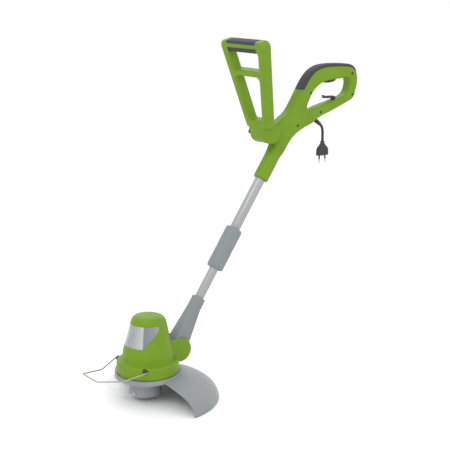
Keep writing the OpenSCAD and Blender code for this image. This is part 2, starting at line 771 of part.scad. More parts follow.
// Bottom of the spool cup, and of the bump knob in it
cup_z = -2;
knob_z = -4;
module spool_cup() color(grey) placed() difference() {
    union() {
        cylinder(r = spool_head_r, h = 30);
        translate([0, 0, cup_z]) cylinder(r1 = spool_head_r - 2, r2 = spool_head_r, h = 2);
    }
    translate([0, 0, cup_z + 2.5]) cylinder(r = 32.8, h = 40);
    translate([0, 0, -5]) cylinder(r = 17, h = 10);
    rotate([0, 0, eyelet_angle]) translate([28, 0, eyelet_z]) rotate([0, 90, 0])
        cylinder(r = 2.9, h = 12);
}
module line_eyelet() color(steel) placed() rotate([0, 0, eyelet_angle])
    translate([32.9, 0, eyelet_z]) rotate([0, 90, 0]) {
        ring(2.85, 1.2, 3.3);
        translate([0, 0, 2.7]) ring(3.8, 1.2, 1.2);
    }
line_route = [
    [-30.5, -7, 6], [-34, -7.9, 6], [-38, -8.7, 6], [-42, -8.6, 5.8], [-46, -6.8, 5.6],
    [-49.5, -3, 5.4], [-52, 3, 5.2], [-53.6, 11, 5], [-54.6, 21, 4.8], [-55, 32, 4.6],
    [-54.9, 44, 4.4], [-54.2, 56, 4.2], [-53, 68, 4]
];
module cutting_line() color([0.9, 0.9, 0.85]) placed()
    sweep(line_route, line_d / 2, 8, [0, 0, 1]);
module line_spool() color(dark) placed() difference() {
    union() {
        translate([0, 0, 2.2]) cylinder(r = 30, h = 1.8);
        translate([0, 0, 2.2]) cylinder(r = 12, h = 25.8);
        translate([0, 0, 26.2]) cylinder(r = 30, h = 1.8);
    }
    translate([0, 0, 0]) cylinder(r = 9, h = 40);
}
module line_winding() color([0.9, 0.9, 0.85]) placed() translate([0, 0, 4.1])
    ring(25, 12.05, 21.9);
module bump_knob() color(dark) placed() {
    translate([0, 0, knob_z]) cylinder(r1 = 14.5, r2 = 16, h = 3);
    translate([0, 0, knob_z + 3]) cylinder(r = 16, h = 3);
    translate([0, 0, knob_z + 6]) ring(8.9, 7, 22);
}
module spool_spring() color(steel) placed()
    translate([0, 0, 28.6]) sweep(helix(11, 7.8, 3, 18), 0.5, 6, [0, 0, 1]);

handle_shell_left();
handle_shell_right();
grip_cover();
handle_screws();
micro_switch();
trigger();
trigger_spring();
trigger_pin();
cable_hook();
strain_relief();
supply_cord();
plug_body();
plug_pins();
handle_cable();
front_handle_frame();
front_grip_upper();
front_grip_lower();
front_handle_bolt();
front_handle_knob();
knob_insert_nut();
upper_tube();
clamp_body();
clamp_collar();
lower_tube();
tube_glider();
coiled_cable();
tilt_bracket();
bracket_screw();
head_shell_left();
head_shell_right();
silver_band();
head_screws();
tilt_pin();
tilt_button();
tilt_button_spring();
motor_plate();
motor_frame();
stator();
carbon_brushes();
bearings();
guard();
guard_screws();
line_cutter();
cutter_screws();
guide_bushes();
edge_guide();
motor_shaft();
armature();
commutator();
cooling_fan();
spool_carrier();
carrier_nut();
spool_cup();
line_eyelet();
cutting_line();
line_spool();
line_winding();
bump_knob();
spool_spring();
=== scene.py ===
"""String trimmer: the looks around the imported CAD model.

Sizes are millimetres above the ground line with the spool axis at x = 0, as in the CAD
source; ground() turns them into the frame's metres, whose origin is the rear grip.
"""
import json
import math

import bmesh
import bpy
from mathutils import Matrix, Vector


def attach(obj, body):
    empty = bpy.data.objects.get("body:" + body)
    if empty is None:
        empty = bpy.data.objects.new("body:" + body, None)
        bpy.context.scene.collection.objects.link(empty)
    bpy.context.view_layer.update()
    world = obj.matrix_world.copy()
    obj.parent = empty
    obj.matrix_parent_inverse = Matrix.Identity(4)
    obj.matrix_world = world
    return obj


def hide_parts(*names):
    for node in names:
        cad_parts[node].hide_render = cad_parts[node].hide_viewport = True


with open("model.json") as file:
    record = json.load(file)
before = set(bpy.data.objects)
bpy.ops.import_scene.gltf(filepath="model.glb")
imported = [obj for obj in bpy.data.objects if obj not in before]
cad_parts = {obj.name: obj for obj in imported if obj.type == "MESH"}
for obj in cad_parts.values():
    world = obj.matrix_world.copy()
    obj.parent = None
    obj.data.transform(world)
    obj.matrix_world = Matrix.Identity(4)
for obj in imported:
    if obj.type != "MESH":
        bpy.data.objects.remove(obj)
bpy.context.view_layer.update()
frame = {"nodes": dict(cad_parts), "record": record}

MM = 0.001
GRIP = Vector((545, 0, 688))
LEAN = math.radians(35)
SHAFT_FOOT = Vector((70, 0, 78))
SHAFT_DIR = Vector((math.sin(LEAN), 0, math.cos(LEAN)))
UPPER_TUBE_R = 12
LOWER_TUBE_R = 10.6
ORIGIN = Vector((0, 0, 0))
ACROSS = Vector((0, 1, 0))
UP = Vector((0, 0, 1))
PIVOT = (83, 88)              # tilt pivot of the head, x and z
FRONT_PIVOT = (343, 557)      # pivot of the front handle, x and z
FRONT_LEAN = math.radians(14)
SCENE = bpy.context.scene


def ground(x, y, z):
    """Ground-line millimetres to the frame's metres."""
    return (Vector((x, y, z)) - GRIP) * MM


# ---------- camera ----------

CAMERA_PLACE = (-1.8146, -1.9488, 0.2547)
CAMERA_AZIMUTH = -37.5
CAMERA_ELEVATION = 13.5
camera_data = bpy.data.cameras.new("camera")
camera_data.lens = 88
camera_data.sensor_width = 36
camera = bpy.data.objects.new("camera", camera_data)
camera.location = CAMERA_PLACE
camera.rotation_euler = (math.radians(90 - CAMERA_ELEVATION), 0, math.radians(CAMERA_AZIMUTH))
SCENE.collection.objects.link(camera)
SCENE.camera = camera


# ---------- mesh helpers ----------

def mesh_object(name, verts, faces):
    """A mesh object at the origin; verts are in ground-line millimetres."""
    mesh = bpy.data.meshes.new(name)
    mesh.from_pydata([ground(*v) for v in verts], [], faces)
    mesh.update()
    obj = bpy.data.objects.new(name, mesh)
    SCENE.collection.objects.link(obj)
    return obj


def applied(obj):
    """Turns the object's modifiers into its own mesh."""
    view = bpy.context.evaluated_depsgraph_get()
    mesh = bpy.data.meshes.new_from_object(obj.evaluated_get(view))
    obj.modifiers.clear()
    obj.data = mesh
    return obj


def recalc(obj):
    bm = bmesh.new()
    bm.from_mesh(obj.data)
    bmesh.ops.recalc_face_normals(bm, faces=bm.faces)
    bm.to_mesh(obj.data)
    bm.free()
    return obj


def joined(name, objects):
    """One object from several, with their faces kept."""
    bm = bmesh.new()
    for obj in objects:
        bm.from_mesh(obj.data)
    mesh = bpy.data.meshes.new(name)
    bm.to_mesh(mesh)
    bm.free()
    for obj in objects:
        bpy.data.objects.remove(obj)
    out = bpy.data.objects.new(name, mesh)
    SCENE.collection.objects.link(out)
    return out


def copy_of(obj, name):
    out = bpy.data.objects.new(name, obj.data.copy())
    SCENE.collection.objects.link(out)
    return out


def boolean(obj, operation, *tools):
    """Cuts obj with the tools, or joins them to it, and removes the tools."""
    for tool in tools:
        mod = obj.modifiers.new("boolean", "BOOLEAN")
        mod.object = tool
        mod.operation = operation
        mod.solver = "EXACT"
        applied(obj)
        bpy.data.objects.remove(tool)
    return obj


def cut(obj, *tools):
    return boolean(obj, "DIFFERENCE", *tools)


def melt(obj, voxel, rounds):
    """Fuses overlapping solids into one skin and softens its edges."""
    mod = obj.modifiers.new("melt", "REMESH")
    mod.mode = "VOXEL"
    mod.voxel_size = voxel * MM
    soft = obj.modifiers.new("soften", "SMOOTH")
    soft.factor = 0.5
    soft.iterations = rounds
    return applied(obj)


def bevel(obj, width, segments=3, angle=35):
    mod = obj.modifiers.new("bevel", "BEVEL")
    mod.width = width * MM
    mod.segments = segments
    mod.limit_method = "ANGLE"
    mod.angle_limit = math.radians(angle)
    mod.harden_normals = False
    return applied(obj)


def shade(obj, angle=40):
    obj.data.shade_smooth()
    obj.data.set_sharp_from_angle(angle=math.radians(angle))
    return obj


def half(obj, name, side, gap=0.12):
    """The part of obj on one side of y = 0, closed, with a hair of room at the seam."""
    y0, y1 = sorted((side * gap, side * 200))
    return boolean(copy_of(obj, name), "INTERSECT",
                   box("half_space", -300, 800, y0, y1, -100, 900))


# ---------- outlines and solids ----------

def spline(points, steps, closed=True):
    """Smooth curve through 2D or 3D points, with steps points a span."""
    n = len(points)
    pts = [Vector(p) for p in points]
    out = []
    for i in range(n if closed else n - 1):
        if closed:
            a, b, c, d = (pts[(i + k) % n] for k in (-1, 0, 1, 2))
        else:
            a, b, c, d = (pts[min(max(i + k, 0), n - 1)] for k in (-1, 0, 1, 2))
        for k in range(steps):
            t = k / steps
            out.append(0.5 * (2 * b + (c - a) * t + (2 * a - 5 * b + 4 * c - d) * t * t
                              + (3 * b - a - 3 * c + d) * t ** 3))
    if not closed:
        out.append(pts[-1])
    return out


def arc(cx, cy, r, start, end, steps):
    """Points of an arc, in degrees, both ends included."""
    return [(cx + r * math.cos(math.radians(start + (end - start) * k / steps)),
             cy + r * math.sin(math.radians(start + (end - start) * k / steps)))
            for k in range(steps + 1)]


def plate(name, loops, y0, y1, rounding=0.0, rings=4):
    """A slab from y0 to y1 of the XZ outline loops[0] with holes loops[1:], long edges rounded."""
    curve = bpy.data.curves.new(name, "CURVE")
    curve.dimensions = "2D"
    curve.fill_mode = "BOTH"
    for loop in loops:
        line = curve.splines.new("POLY")
        line.points.add(len(loop) - 1)
        for point, (u, w) in zip(line.points, loop):
            point.co = (u * MM, w * MM, 0, 1)
        line.use_cyclic_u = True
    curve.extrude = ((y1 - y0) / 2 - rounding) * MM
    curve.bevel_depth = rounding * MM
    curve.bevel_resolution = rings
    curve.offset = -rounding * MM
    source = bpy.data.objects.new(name, curve)
    SCENE.collection.objects.link(source)
    view = bpy.context.evaluated_depsgraph_get()
    mesh = bpy.data.meshes.new_from_object(source.evaluated_get(view))
    bpy.data.objects.remove(source)
    middle = Vector((-GRIP.x, (y0 + y1) / 2, -GRIP.z)) * MM
    mesh.transform(Matrix.Translation(middle) @ Matrix.Rotation(math.pi / 2, 4, "X"))
    obj = bpy.data.objects.new(name, mesh)
    SCENE.collection.objects.link(obj)
    bm = bmesh.new()
    bm.from_mesh(mesh)
    bmesh.ops.remove_doubles(bm, verts=bm.verts, dist=1e-6)
    bmesh.ops.recalc_face_normals(bm, faces=bm.faces)
    bm.to_mesh(mesh)
    bm.free()
    return obj


def disc(name, x, z, r, y0, y1, rounding=0.0, sides=64):
    """A round slab along Y, with its edges rounded."""
    profile = [(0, y0)]
    if rounding:
        profile += [(r - rounding + rounding * math.sin(a), y0 + rounding - rounding * math.cos(a))
                    for a in (math.pi / 2 * k / 4 for k in range(5))]
        profile += [(r - rounding + rounding * math.cos(a), y1 - rounding + rounding * math.sin(a))
                    for a in (math.pi / 2 * k / 4 for k in range(5))]
    else:
        profile += [(r, y0), (r, y1)]
    profile += [(0, y1)]
    return lathe(name, profile, Vector((x, 0, z)), ACROSS, sides)


def lathe(name, profile, foot, axis, sides=96):
    """Turns (radius, distance) points round the axis from its foot; ends at radius 0 close."""
    axis = axis.normalized()
    side = axis.orthogonal().normalized()
    other = axis.cross(side)
    verts, rings = [], []
    for r, s in profile:
        if r < 1e-6:
            rings.append([len(verts)])
            verts.append(foot + axis * s)
        else:
            rings.append(list(range(len(verts), len(verts) + sides)))
            for k in range(sides):
                a = 2 * math.pi * k / sides
                verts.append(foot + axis * s + r * (math.cos(a) * side + math.sin(a) * other))
    faces = []
    for lower, upper in zip(rings, rings[1:]):
        for k in range(sides):
            n = (k + 1) % sides
            quad = [lower[k % len(lower)], lower[n % len(lower)],
                    upper[n % len(upper)], upper[k % len(upper)]]
            face = [v for i, v in enumerate(quad) if v not in quad[:i]]
            if len(face) > 2:
                faces.append(face)
    return recalc(mesh_object(name, verts, faces))


def closed_lathe(name, profile, foot, axis, sides=96):
    """Turns a closed (radius, distance) loop round the axis: a ring-shaped solid."""
    axis = axis.normalized()
    side = axis.orthogonal().normalized()
    other = axis.cross(side)
    n = len(profile)
    verts = [foot + axis * s + r * (math.cos(2 * math.pi * k / sides) * side
                                    + math.sin(2 * math.pi * k / sides) * other)
             for k in range(sides) for r, s in profile]
    faces = [(k * n + i, k * n + (i + 1) % n,
              (k + 1) % sides * n + (i + 1) % n, (k + 1) % sides * n + i)
             for k in range(sides) for i in range(n)]
    return recalc(mesh_object(name, verts, faces))


def box(name, x0, x1, y0, y1, z0, z1):
    verts = [(x, y, z) for z in (z0, z1) for y in (y0, y1) for x in (x0, x1)]
    faces = [(0, 2, 3, 1), (4, 5, 7, 6), (0, 1, 5, 4), (2, 6, 7, 3), (0, 4, 6, 2), (1, 3, 7, 5)]
    return mesh_object(name, verts, faces)


def hull(name, objects):
    """The convex skin round several objects, which it replaces."""
    obj = joined(name, objects)
    bm = bmesh.new()
    bm.from_mesh(obj.data)
    out = bmesh.ops.convex_hull(bm, input=bm.verts)
    extra = set(out["geom_interior"]) | set(out["geom_unused"])
    bmesh.ops.delete(bm, geom=[g for g in extra if isinstance(g, bmesh.types.BMVert)],
                     context="VERTS")
    bmesh.ops.recalc_face_normals(bm, faces=bm.faces)
    bm.to_mesh(obj.data)
    bm.free()
    return obj


def tube(name, points, r, sides, ref):
    """A closed round tube of radius r along points."""
    pts = [Vector(p) for p in points]
    verts, faces = [], []
    for i, p in enumerate(pts):
        t = (pts[min(i + 1, len(pts) - 1)] - pts[max(i - 1, 0)]).normalized()
        b = t.cross(Vector(ref)).normalized()
        c = b.cross(t)
        for k in range(sides):
            a = 2 * math.pi * k / sides
            verts.append(p + r * (math.cos(a) * b + math.sin(a) * c))
    for i in range(len(pts) - 1):
        for k in range(sides):
            n = (k + 1) % sides
            faces.append((i * sides + k, i * sides + n, (i + 1) * sides + n, (i + 1) * sides + k))
    faces.append(tuple(range(sides)))
    faces.append(tuple(len(verts) - sides + k for k in range(sides)))
    return recalc(mesh_object(name, verts, faces))


def on_shaft(s):
    return SHAFT_FOOT + SHAFT_DIR * s


# ---------- materials ----------

class Nodes:
    """Short names for building one node material."""

    def __init__(self, name):
        self.mat = bpy.data.materials.new(name)
        self.mat.use_nodes = True
        self.tree = self.mat.node_tree
        self.shader = self.tree.nodes["Principled BSDF"]
        self.where = self.add("ShaderNodeTexCoord").outputs["Object"]

    def add(self, kind, inputs=None, **props):
        node = self.tree.nodes.new(kind)
        for key, value in props.items():
            setattr(node, key, value)
        for key, value in (inputs or {}).items():
            self.plug(node.inputs[key], value)
        return node

    def plug(self, socket, value):
        if isinstance(value, bpy.types.NodeSocket):
            self.tree.links.new(value, socket)
        else:
            socket.default_value = value

    def noise(self, size, detail=3, rough=0.5):
        """Noise whose lumps are about size millimetres."""
        return self.add("ShaderNodeTexNoise", {
            "Vector": self.where, "Scale": 1 / (size * MM), "Detail": detail,
            "Roughness": rough}).outputs["Fac"]

    def spread(self, value, low, high, to_low, to_high):
        return self.add("ShaderNodeMapRange", {
            "Value": value, "From Min": low, "From Max": high,
            "To Min": to_low, "To Max": to_high}).outputs["Result"]

    def mix(self, fac, a, b):
        node = self.add("ShaderNodeMix", data_type="RGBA")
        self.plug(node.inputs["Factor"], fac)
        self.plug(node.inputs["A"], a)
        self.plug(node.inputs["B"], b)
        return node.outputs["Result"]

    def bump(self, height, depth, strength=1.0, under=None):
        """A bump of depth millimetres, on top of an earlier one if given."""
        node = self.add("ShaderNodeBump", {
            "Height": height, "Distance": depth * MM, "Strength": strength})
        if under:
            self.plug(node.inputs["Normal"], under)
        return node.outputs["Normal"]

    def worn_edges(self, low, high):
        edge = self.add("ShaderNodeNewGeometry").outputs["Pointiness"]
        return self.spread(edge, low, high, 0, 1)

    def set(self, **values):
        for key, value in values.items():
            self.plug(self.shader.inputs[key.replace("_", " ")], value)
        return self.mat


def rgb(r, g, b):
    return (r, g, b, 1)


def moulded(name, base, rough, grain=0.03, grain_size=0.7, gloss=0.25, tint=0.08):
    """Moulded plastic: fine spark texture, slow flow marks, slightly paler worn edges."""
    n = Nodes(name)
    flow = n.noise(70, 2)
    dust = n.noise(6, 4, 0.6)
    dark = rgb(*(c * (1 - tint) for c in base))
    pale = rgb(*(min(1, c * (1 + tint)) for c in base))
    worn = rgb(*(min(1, c * 1.12 + 0.03) for c in base))
    colour = n.mix(n.spread(flow, 0.3, 0.7, 0, 1), dark, pale)
    speck = n.spread(dust, 0.45, 0.75, 0, 0.18)
    colour = n.mix(speck, colour, rgb(*(c * 0.86 for c in base)))
    colour = n.mix(n.spread(n.worn_edges(0.52, 0.62), 0, 1, 0, 0.35), colour, worn)
    spark = n.noise(grain_size, 2, 0.55)
    normal = n.bump(spark, grain, 0.6)
    normal = n.bump(n.noise(9, 2), 0.02, 0.35, normal)
    return n.set(Base_Color=colour, Roughness=n.spread(dust, 0.3, 0.7, rough - 0.05, rough + 0.07),
                 Normal=normal, Specular_IOR_Level=gloss, IOR=1.49)


def soft_rubber(name, base, rough, pitch):
    """Soft touch rubber: a close field of small round pimples over a fine matt skin, with painted
    shade darkening the skin between the pimples.
    """
    n = Nodes(name)
    cells = n.add("ShaderNodeTexVoronoi", {
        "Vector": n.where, "Scale": 1 / (pitch * MM), "Randomness": 0.25})
    dots = n.spread(cells.outputs["Distance"], 0.15, 0.5, 1, 0)
    dust = n.noise(14, 4, 0.65)
    colour = n.mix(n.spread(dust, 0.35, 0.75, 0, 0.6), rgb(*base),
                   rgb(*(c * 1.5 + 0.004 for c in base)))
    # Painted shade: the skin between the pimples is darkened where it lies low.
    colour = n.mix(n.spread(dots, 0, 1, 0.35, 0), colour, rgb(*(c * 0.55 for c in base)))
    normal = n.bump(dots, 0.12, 0.8)
    normal = n.bump(n.noise(0.5, 2), 0.02, 0.5, normal)
    return n.set(Base_Color=colour, Roughness=n.spread(dust, 0.3, 0.7, rough - 0.06, rough + 0.06),
                 Normal=normal, Specular_IOR_Level=0.3, Sheen_Weight=0.02, IOR=1.45)


def drawn_tube(name, base, rough):
    """Lacquered drawn tube: fine lines along the shaft and faint rub marks round it."""
    n = Nodes(name)
    turned = n.add("ShaderNodeMapping", {
        "Vector": n.where, "Rotation": (0, -LEAN, 0), "Scale": (1, 1, 0.015)}).outputs[0]
    lines = n.add("ShaderNodeTexNoise", {
        "Vector": turned, "Scale": 1400, "Detail": 2}).outputs["Fac"]
    rub = n.noise(22, 4, 0.6)
    colour = n.mix(n.spread(lines, 0.3, 0.7, 0, 1), rgb(*(c * 0.93 for c in base)),
                   rgb(*(c * 1.05 for c in base)))
    colour = n.mix(n.spread(rub, 0.55, 0.8, 0, 0.35), colour, rgb(*(c * 0.86 for c in base)))
    return n.set(Base_Color=colour, Metallic=0.55,
                 Roughness=n.spread(rub, 0.3, 0.7, rough - 0.05, rough + 0.1),
                 Normal=n.bump(lines, 0.006, 0.5), Coat_Weight=0.25, Coat_Roughness=0.3)


def bright_steel(name, base, rough):
    """Zinc-plated or bare steel with fine scratches and a little tarnish."""
    n = Nodes(name)
    scratch = n.noise(0.8, 3, 0.6)
    tarnish = n.noise(5, 4, 0.65)
    colour = n.mix(n.spread(tarnish, 0.4, 0.8, 0, 0.7), rgb(*base),
                   rgb(base[0] * 0.72, base[1] * 0.68, base[2] * 0.62))
    return n.set(Base_Color=colour, Metallic=1.0,
                 Roughness=n.spread(tarnish, 0.3, 0.7, rough - 0.06, rough + 0.12),
                 Normal=n.bump(scratch, 0.01, 0.5))


def enamelled_copper(name):
    """Copper winding under enamel, in close turns round the vertical axis, with painted shade
    darkening the grooves between the turns.
    """
    n = Nodes(name)
    turns = n.add("ShaderNodeTexWave", {"Vector": n.where, "Scale": 260, "Distortion": 0.6,
                                        "Detail": 1}, bands_direction="Z")
    # Painted shade: the copper is darkened in the grooves between turns, following the bump.
    colour = n.mix(turns.outputs["Fac"], rgb(0.28, 0.10, 0.035), rgb(0.62, 0.27, 0.11))
    return n.set(Base_Color=colour, Metallic=0.7, Roughness=0.35,
                 Normal=n.bump(turns.outputs["Fac"], 0.15, 0.7))


def nylon_line(name):
    """Milky nylon monofilament with faint draw marks."""
    n = Nodes(name)
    cloud = n.noise(3, 3)
    colour = n.mix(cloud, rgb(0.72, 0.74, 0.70), rgb(0.86, 0.87, 0.82))
    return n.set(Base_Color=colour, Roughness=0.32, Transmission_Weight=0.25, IOR=1.53,
                 Normal=n.bump(n.noise(0.6, 2), 0.01, 0.4))


def wound_line(name):
    """The winding on the spool: turns of pale line beside one another, with painted shade darkening
    the grooves between the turns.
    """
    n = Nodes(name)
    turns = n.add("ShaderNodeTexWave", {"Vector": n.where, "Scale": 200, "Distortion": 0.3},
                  bands_direction="Z", wave_profile="SIN").outputs["Fac"]
    # Painted shade: the line is darkened in the grooves between turns, following the bump.
    colour = n.mix(turns, rgb(0.42, 0.43, 0.40), rgb(0.82, 0.83, 0.78))
    return n.set(Base_Color=colour, Roughness=0.4, Normal=n.bump(turns, 0.6, 0.8))


def band_silver_painted_light(name):
    """Silver trim with painted light: a painted reflection brightens the front, and painted shade
    darkens each side past the line where the reflection ends.
    """
    n = Nodes(name)
    split = n.add("ShaderNodeSeparateXYZ", {"Vector": n.where})
    dome = ground(BAND_MIDDLE_X, 0, 0)
    x = n.add("ShaderNodeMath", {0: dome.x, 1: split.outputs["X"]}, operation="SUBTRACT")
    y = n.add("ShaderNodeMath", {0: split.outputs["Y"]}, operation="ABSOLUTE")
    turn = n.add("ShaderNodeMath", {0: y.outputs[0], 1: x.outputs[0]}, operation="ARCTAN2")
    shade_line = math.radians(BAND_SHADE_LINE)
    # Painted shade on each side past the line, growing lighter further round.
    side = n.spread(turn.outputs[0], shade_line - 0.02, shade_line + 0.03, 0, 1)
    shade_fade = n.spread(turn.outputs[0], shade_line + 0.1, shade_line + 1.1, 0, 0.75)
    painted_side_shade = n.mix(shade_fade, rgb(0.15, 0.165, 0.20), rgb(0.29, 0.31, 0.315))
    # Painted reflection on the front, brighter towards the line.
    front = n.mix(n.spread(turn.outputs[0], 0.15, shade_line - 0.1, 0, 1),
                  rgb(0.27, 0.285, 0.30), rgb(0.41, 0.435, 0.42))
    flake = n.noise(0.35, 1)
    colour = n.mix(side, front, painted_side_shade)
    colour = n.mix(n.spread(flake, 0.4, 0.7, 0, 0.12), colour, rgb(0.85, 0.87, 0.88))
    return n.set(Base_Color=colour, Metallic=0.55, Roughness=n.spread(flake, 0.3, 0.7, 0.24, 0.34),
                 Normal=n.bump(flake, 0.004, 0.4), Coat_Weight=0.5, Coat_Roughness=0.12)


def plug_pin_metal(name):
    """Nickel pins with a dark insulating sleeve on the half next to the plug."""
    n = Nodes(name)
    height = n.add("ShaderNodeSeparateXYZ", {"Vector": n.where}).outputs["Z"]
    sleeve = n.spread(height, -0.2132, -0.2130, 0, 1)
    colour = n.mix(sleeve, rgb(0.62, 0.60, 0.55), rgb(0.03, 0.03, 0.032))
    scratch = n.noise(0.9, 3)
    metal = n.spread(sleeve, 0, 1, 1, 0)
    return n.set(Base_Color=colour, Metallic=metal, Roughness=n.spread(scratch, 0.3, 0.7, 0.2, 0.4),
                 Normal=n.bump(scratch, 0.008, 0.4))


BAND_MIDDLE_X = 11            # axis of the dome at the band's height
BAND_SHADE_LINE = 42              # direction where the painted reflection on the silver band meets the painted side shade, degrees from -X
GREEN = moulded("green_moulded", (0.143, 0.256, 0.010), 0.40, gloss=0.2, tint=0.06)
GREY = moulded("grey_moulded", (0.205, 0.226, 0.232), 0.46, tint=0.05)
GUARD_GREY = moulded("guard_moulded", (0.225, 0.241, 0.248), 0.38, gloss=0.3, tint=0.05)
# Painted light: a lighter copy of the grey plastic that offsets the shade the spool cup sits in under
# the guard.
CAP_GREY_LIFTED_FROM_SHADE = moulded("cap_moulded_lifted_from_shade", (0.29, 0.31, 0.315), 0.42, tint=0.05)
BLACKENED = bright_steel("blackened_steel", (0.07, 0.07, 0.07), 0.45)
DARK = moulded("dark_moulded", (0.042, 0.043, 0.047), 0.5, grain=0.05, tint=0.15)
SOFT = soft_rubber("soft_grip_rubber", (0.042, 0.044, 0.050), 0.66, 1.5)
SHEATH = moulded("cord_sheath", (0.038, 0.038, 0.042), 0.48, grain=0.02, grain_size=1.2, tint=0.12)
TUBE = drawn_tube("shaft_lacquer", (0.345, 0.348, 0.352), 0.42)
STEEL = bright_steel("bright_steel", (0.62, 0.61, 0.59), 0.3)
WIRE = bright_steel("guide_wire", (0.40, 0.38, 0.35), 0.38)
BRASS = bright_steel("turned_brass", (0.70, 0.52, 0.25), 0.3)
COPPER = enamelled_copper("copper_winding")
NYLON = nylon_line("nylon_line")
WOUND = wound_line("wound_line")
SILVER_PAINTED_LIGHT = band_silver_painted_light("silver_trim")
PINS = plug_pin_metal("plug_pin_metal")

SLOT = {"green_plastic": GREEN, "grey_plastic": GREY, "dark_plastic": DARK, "soft_grip": SOFT,
        "tube_metal": TUBE, "silver_trim": SILVER_PAINTED_LIGHT, "steel": STEEL, "copper": COPPER,
        "brass": BRASS, "cord_rubber": SHEATH, "nylon": NYLON}
SPECIAL = {"guard": GUARD_GREY, "spool_cup": CAP_GREY_LIFTED_FROM_SHADE, "handle_screws": BLACKENED,
           "edge_guide": WIRE, "line_winding": WOUND, "plug_pins": PINS}

slot_of = {part["node"]: part["material_slot"] for part in frame["record"]["subparts"]}
body_of = {node: body for body, nodes in frame["record"]["behaviour"]["bodies"].items()
           for node in nodes}
for node, obj in frame["nodes"].items():
    obj.data.materials.clear()
    obj.data.materials.append(SPECIAL.get(node, SLOT[slot_of[node]]))


def piece(obj, node, material=None, angle=40):
    """Lets obj stand for a CAD node: its material, slot and body come with it."""
    obj.data.materials.clear()
    obj.data.materials.append(material or SPECIAL.get(node, SLOT[slot_of[node]]))
    shade(obj, angle)
    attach(obj, body_of[node])
    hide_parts(node)
    return obj


# ---------- supply cord, strain relief and plug ----------

CORD_D = 6.5
EXIT = Vector((494, 0, 575))
EXIT_ANGLE = math.radians(36.5)
EXIT_DIR = Vector((math.cos(EXIT_ANGLE), 0, -math.sin(EXIT_ANGLE)))
BOOT_LENGTH = 24
# The same route as in the CAD, in millimetres from the grip
CORD_ROUTE = [
    (-31.7, 0, -127.3), (-29.7, 0, -128.9), (-27.8, 0, -130.8), (-26.1, 0, -133),
    (-24.7, 0, -135.5), (-23.6, 0, -138.3), (-22.8, 0, -141.3), (-22.3, 0, -144.5),
    (-22.1, 0, -148), (-22, 0, -151.5), (-22, 0, -155), (-22, 0, -158.5),
    (-22, 0, -162), (-22, 0, -165.5), (-22, 0, -169)]
PLUG_TOP = Vector((-22, 0, -169)) + GRIP


def make_cord():
    path = [p + GRIP for p in spline(CORD_ROUTE, 3, closed=False)]
    cord = tube("supply_cord_sheath", path, CORD_D / 2, 20, (0, 1, 0))
    piece(cord, "supply_cord")
    route = [ground(*p) for p in path]
    length = sum((b - a).length for a, b in zip(route, route[1:]))
    return cord, [tuple(p) for p in route], length


def make_boot():
    """Tapered strain relief with ribs, closed round the lead."""
    profile = [(0, -12), (5, -12), (5, 0.3), (5.9, 0.9)]
    ribs = 5
    pitch = (BOOT_LENGTH - 3) / ribs
    for k in range(ribs):
        s = 1.4 + pitch * k
        r = 5.85 - 0.34 * k
        profile += [(r, s), (r + 0.05, s + 0.8), (r - 0.05, s + pitch * 0.55),
                    (r - 0.9, s + pitch * 0.68), (r - 0.95, s + pitch * 0.92)]
    profile += [(4.3, BOOT_LENGTH - 1.4), (4.15, BOOT_LENGTH - 0.6), (3.7, BOOT_LENGTH),
                (0, BOOT_LENGTH)]
    boot = lathe("strain_relief_boot", profile, EXIT, EXIT_DIR, 48)
    return piece(bevel(boot, 0.2, 2, 30), "strain_relief", SOFT_PLAIN, 50)


def make_plug():
    """Slim two-pin plug: a waisted body that narrows to the lead, with finger ribs."""
    rows = [(0.0, 4.2, 4.2), (-0.8, 5.0, 5.0), (-5, 5.3, 5.2), (-9, 8.2, 5.6), (-13, 12.2, 6.2),
            (-17, 15.4, 6.7), (-21, 17.0, 6.8), (-27, 17.4, 6.8), (-33.6, 17.6, 6.8),
            (-34.3, 17.2, 6.4), (-34.5, 16.6, 5.9)]
    count = 56
    verts, faces = [], []
    for s, a, b in spline(rows, 3, closed=False):
        for k in range(count):
            t = 2 * math.pi * k / count
            c, d = math.cos(t), math.sin(t)
            power = 2 / (2 + 1.3 * min(1, max(0, -s - 5) / 15))
            x = math.copysign(abs(c) ** power, c) * a
            y = math.copysign(abs(d) ** power, d) * b
            verts.append(PLUG_TOP + Vector((x, y, s)))
    rings = len(verts) // count
    for i in range(rings - 1):
        for k in range(count):
            n = (k + 1) % count
            faces.append((i * count + k, i * count + n, (i + 1) * count + n, (i + 1) * count + k))
    faces.append(tuple(range(count)))
    faces.append(tuple(len(verts) - count + k for k in range(count)))
    plug = recalc(mesh_object("plug_shell", verts, faces))
    for k in range(4):
        z = PLUG_TOP.z - 19 - 3.2 * k
        for side in (-1, 1):
            y = side * 7.6
            cut(plug, box("groove", PLUG_TOP.x - 11, PLUG_TOP.x + 11, y - 1.2, y + 1.2,
                          z - 0.6, z + 0.6))
    return piece(plug, "plug_body", DARK, 35)


SOFT_PLAIN = moulded("boot_rubber", (0.04, 0.041, 0.046), 0.56, grain=0.03, tint=0.12)
supply_cord, cord_path, cord_length = make_cord()
make_boot()
plug_shell = make_plug()


# ---------- rear handle ----------

HANDLE_HALF = 15
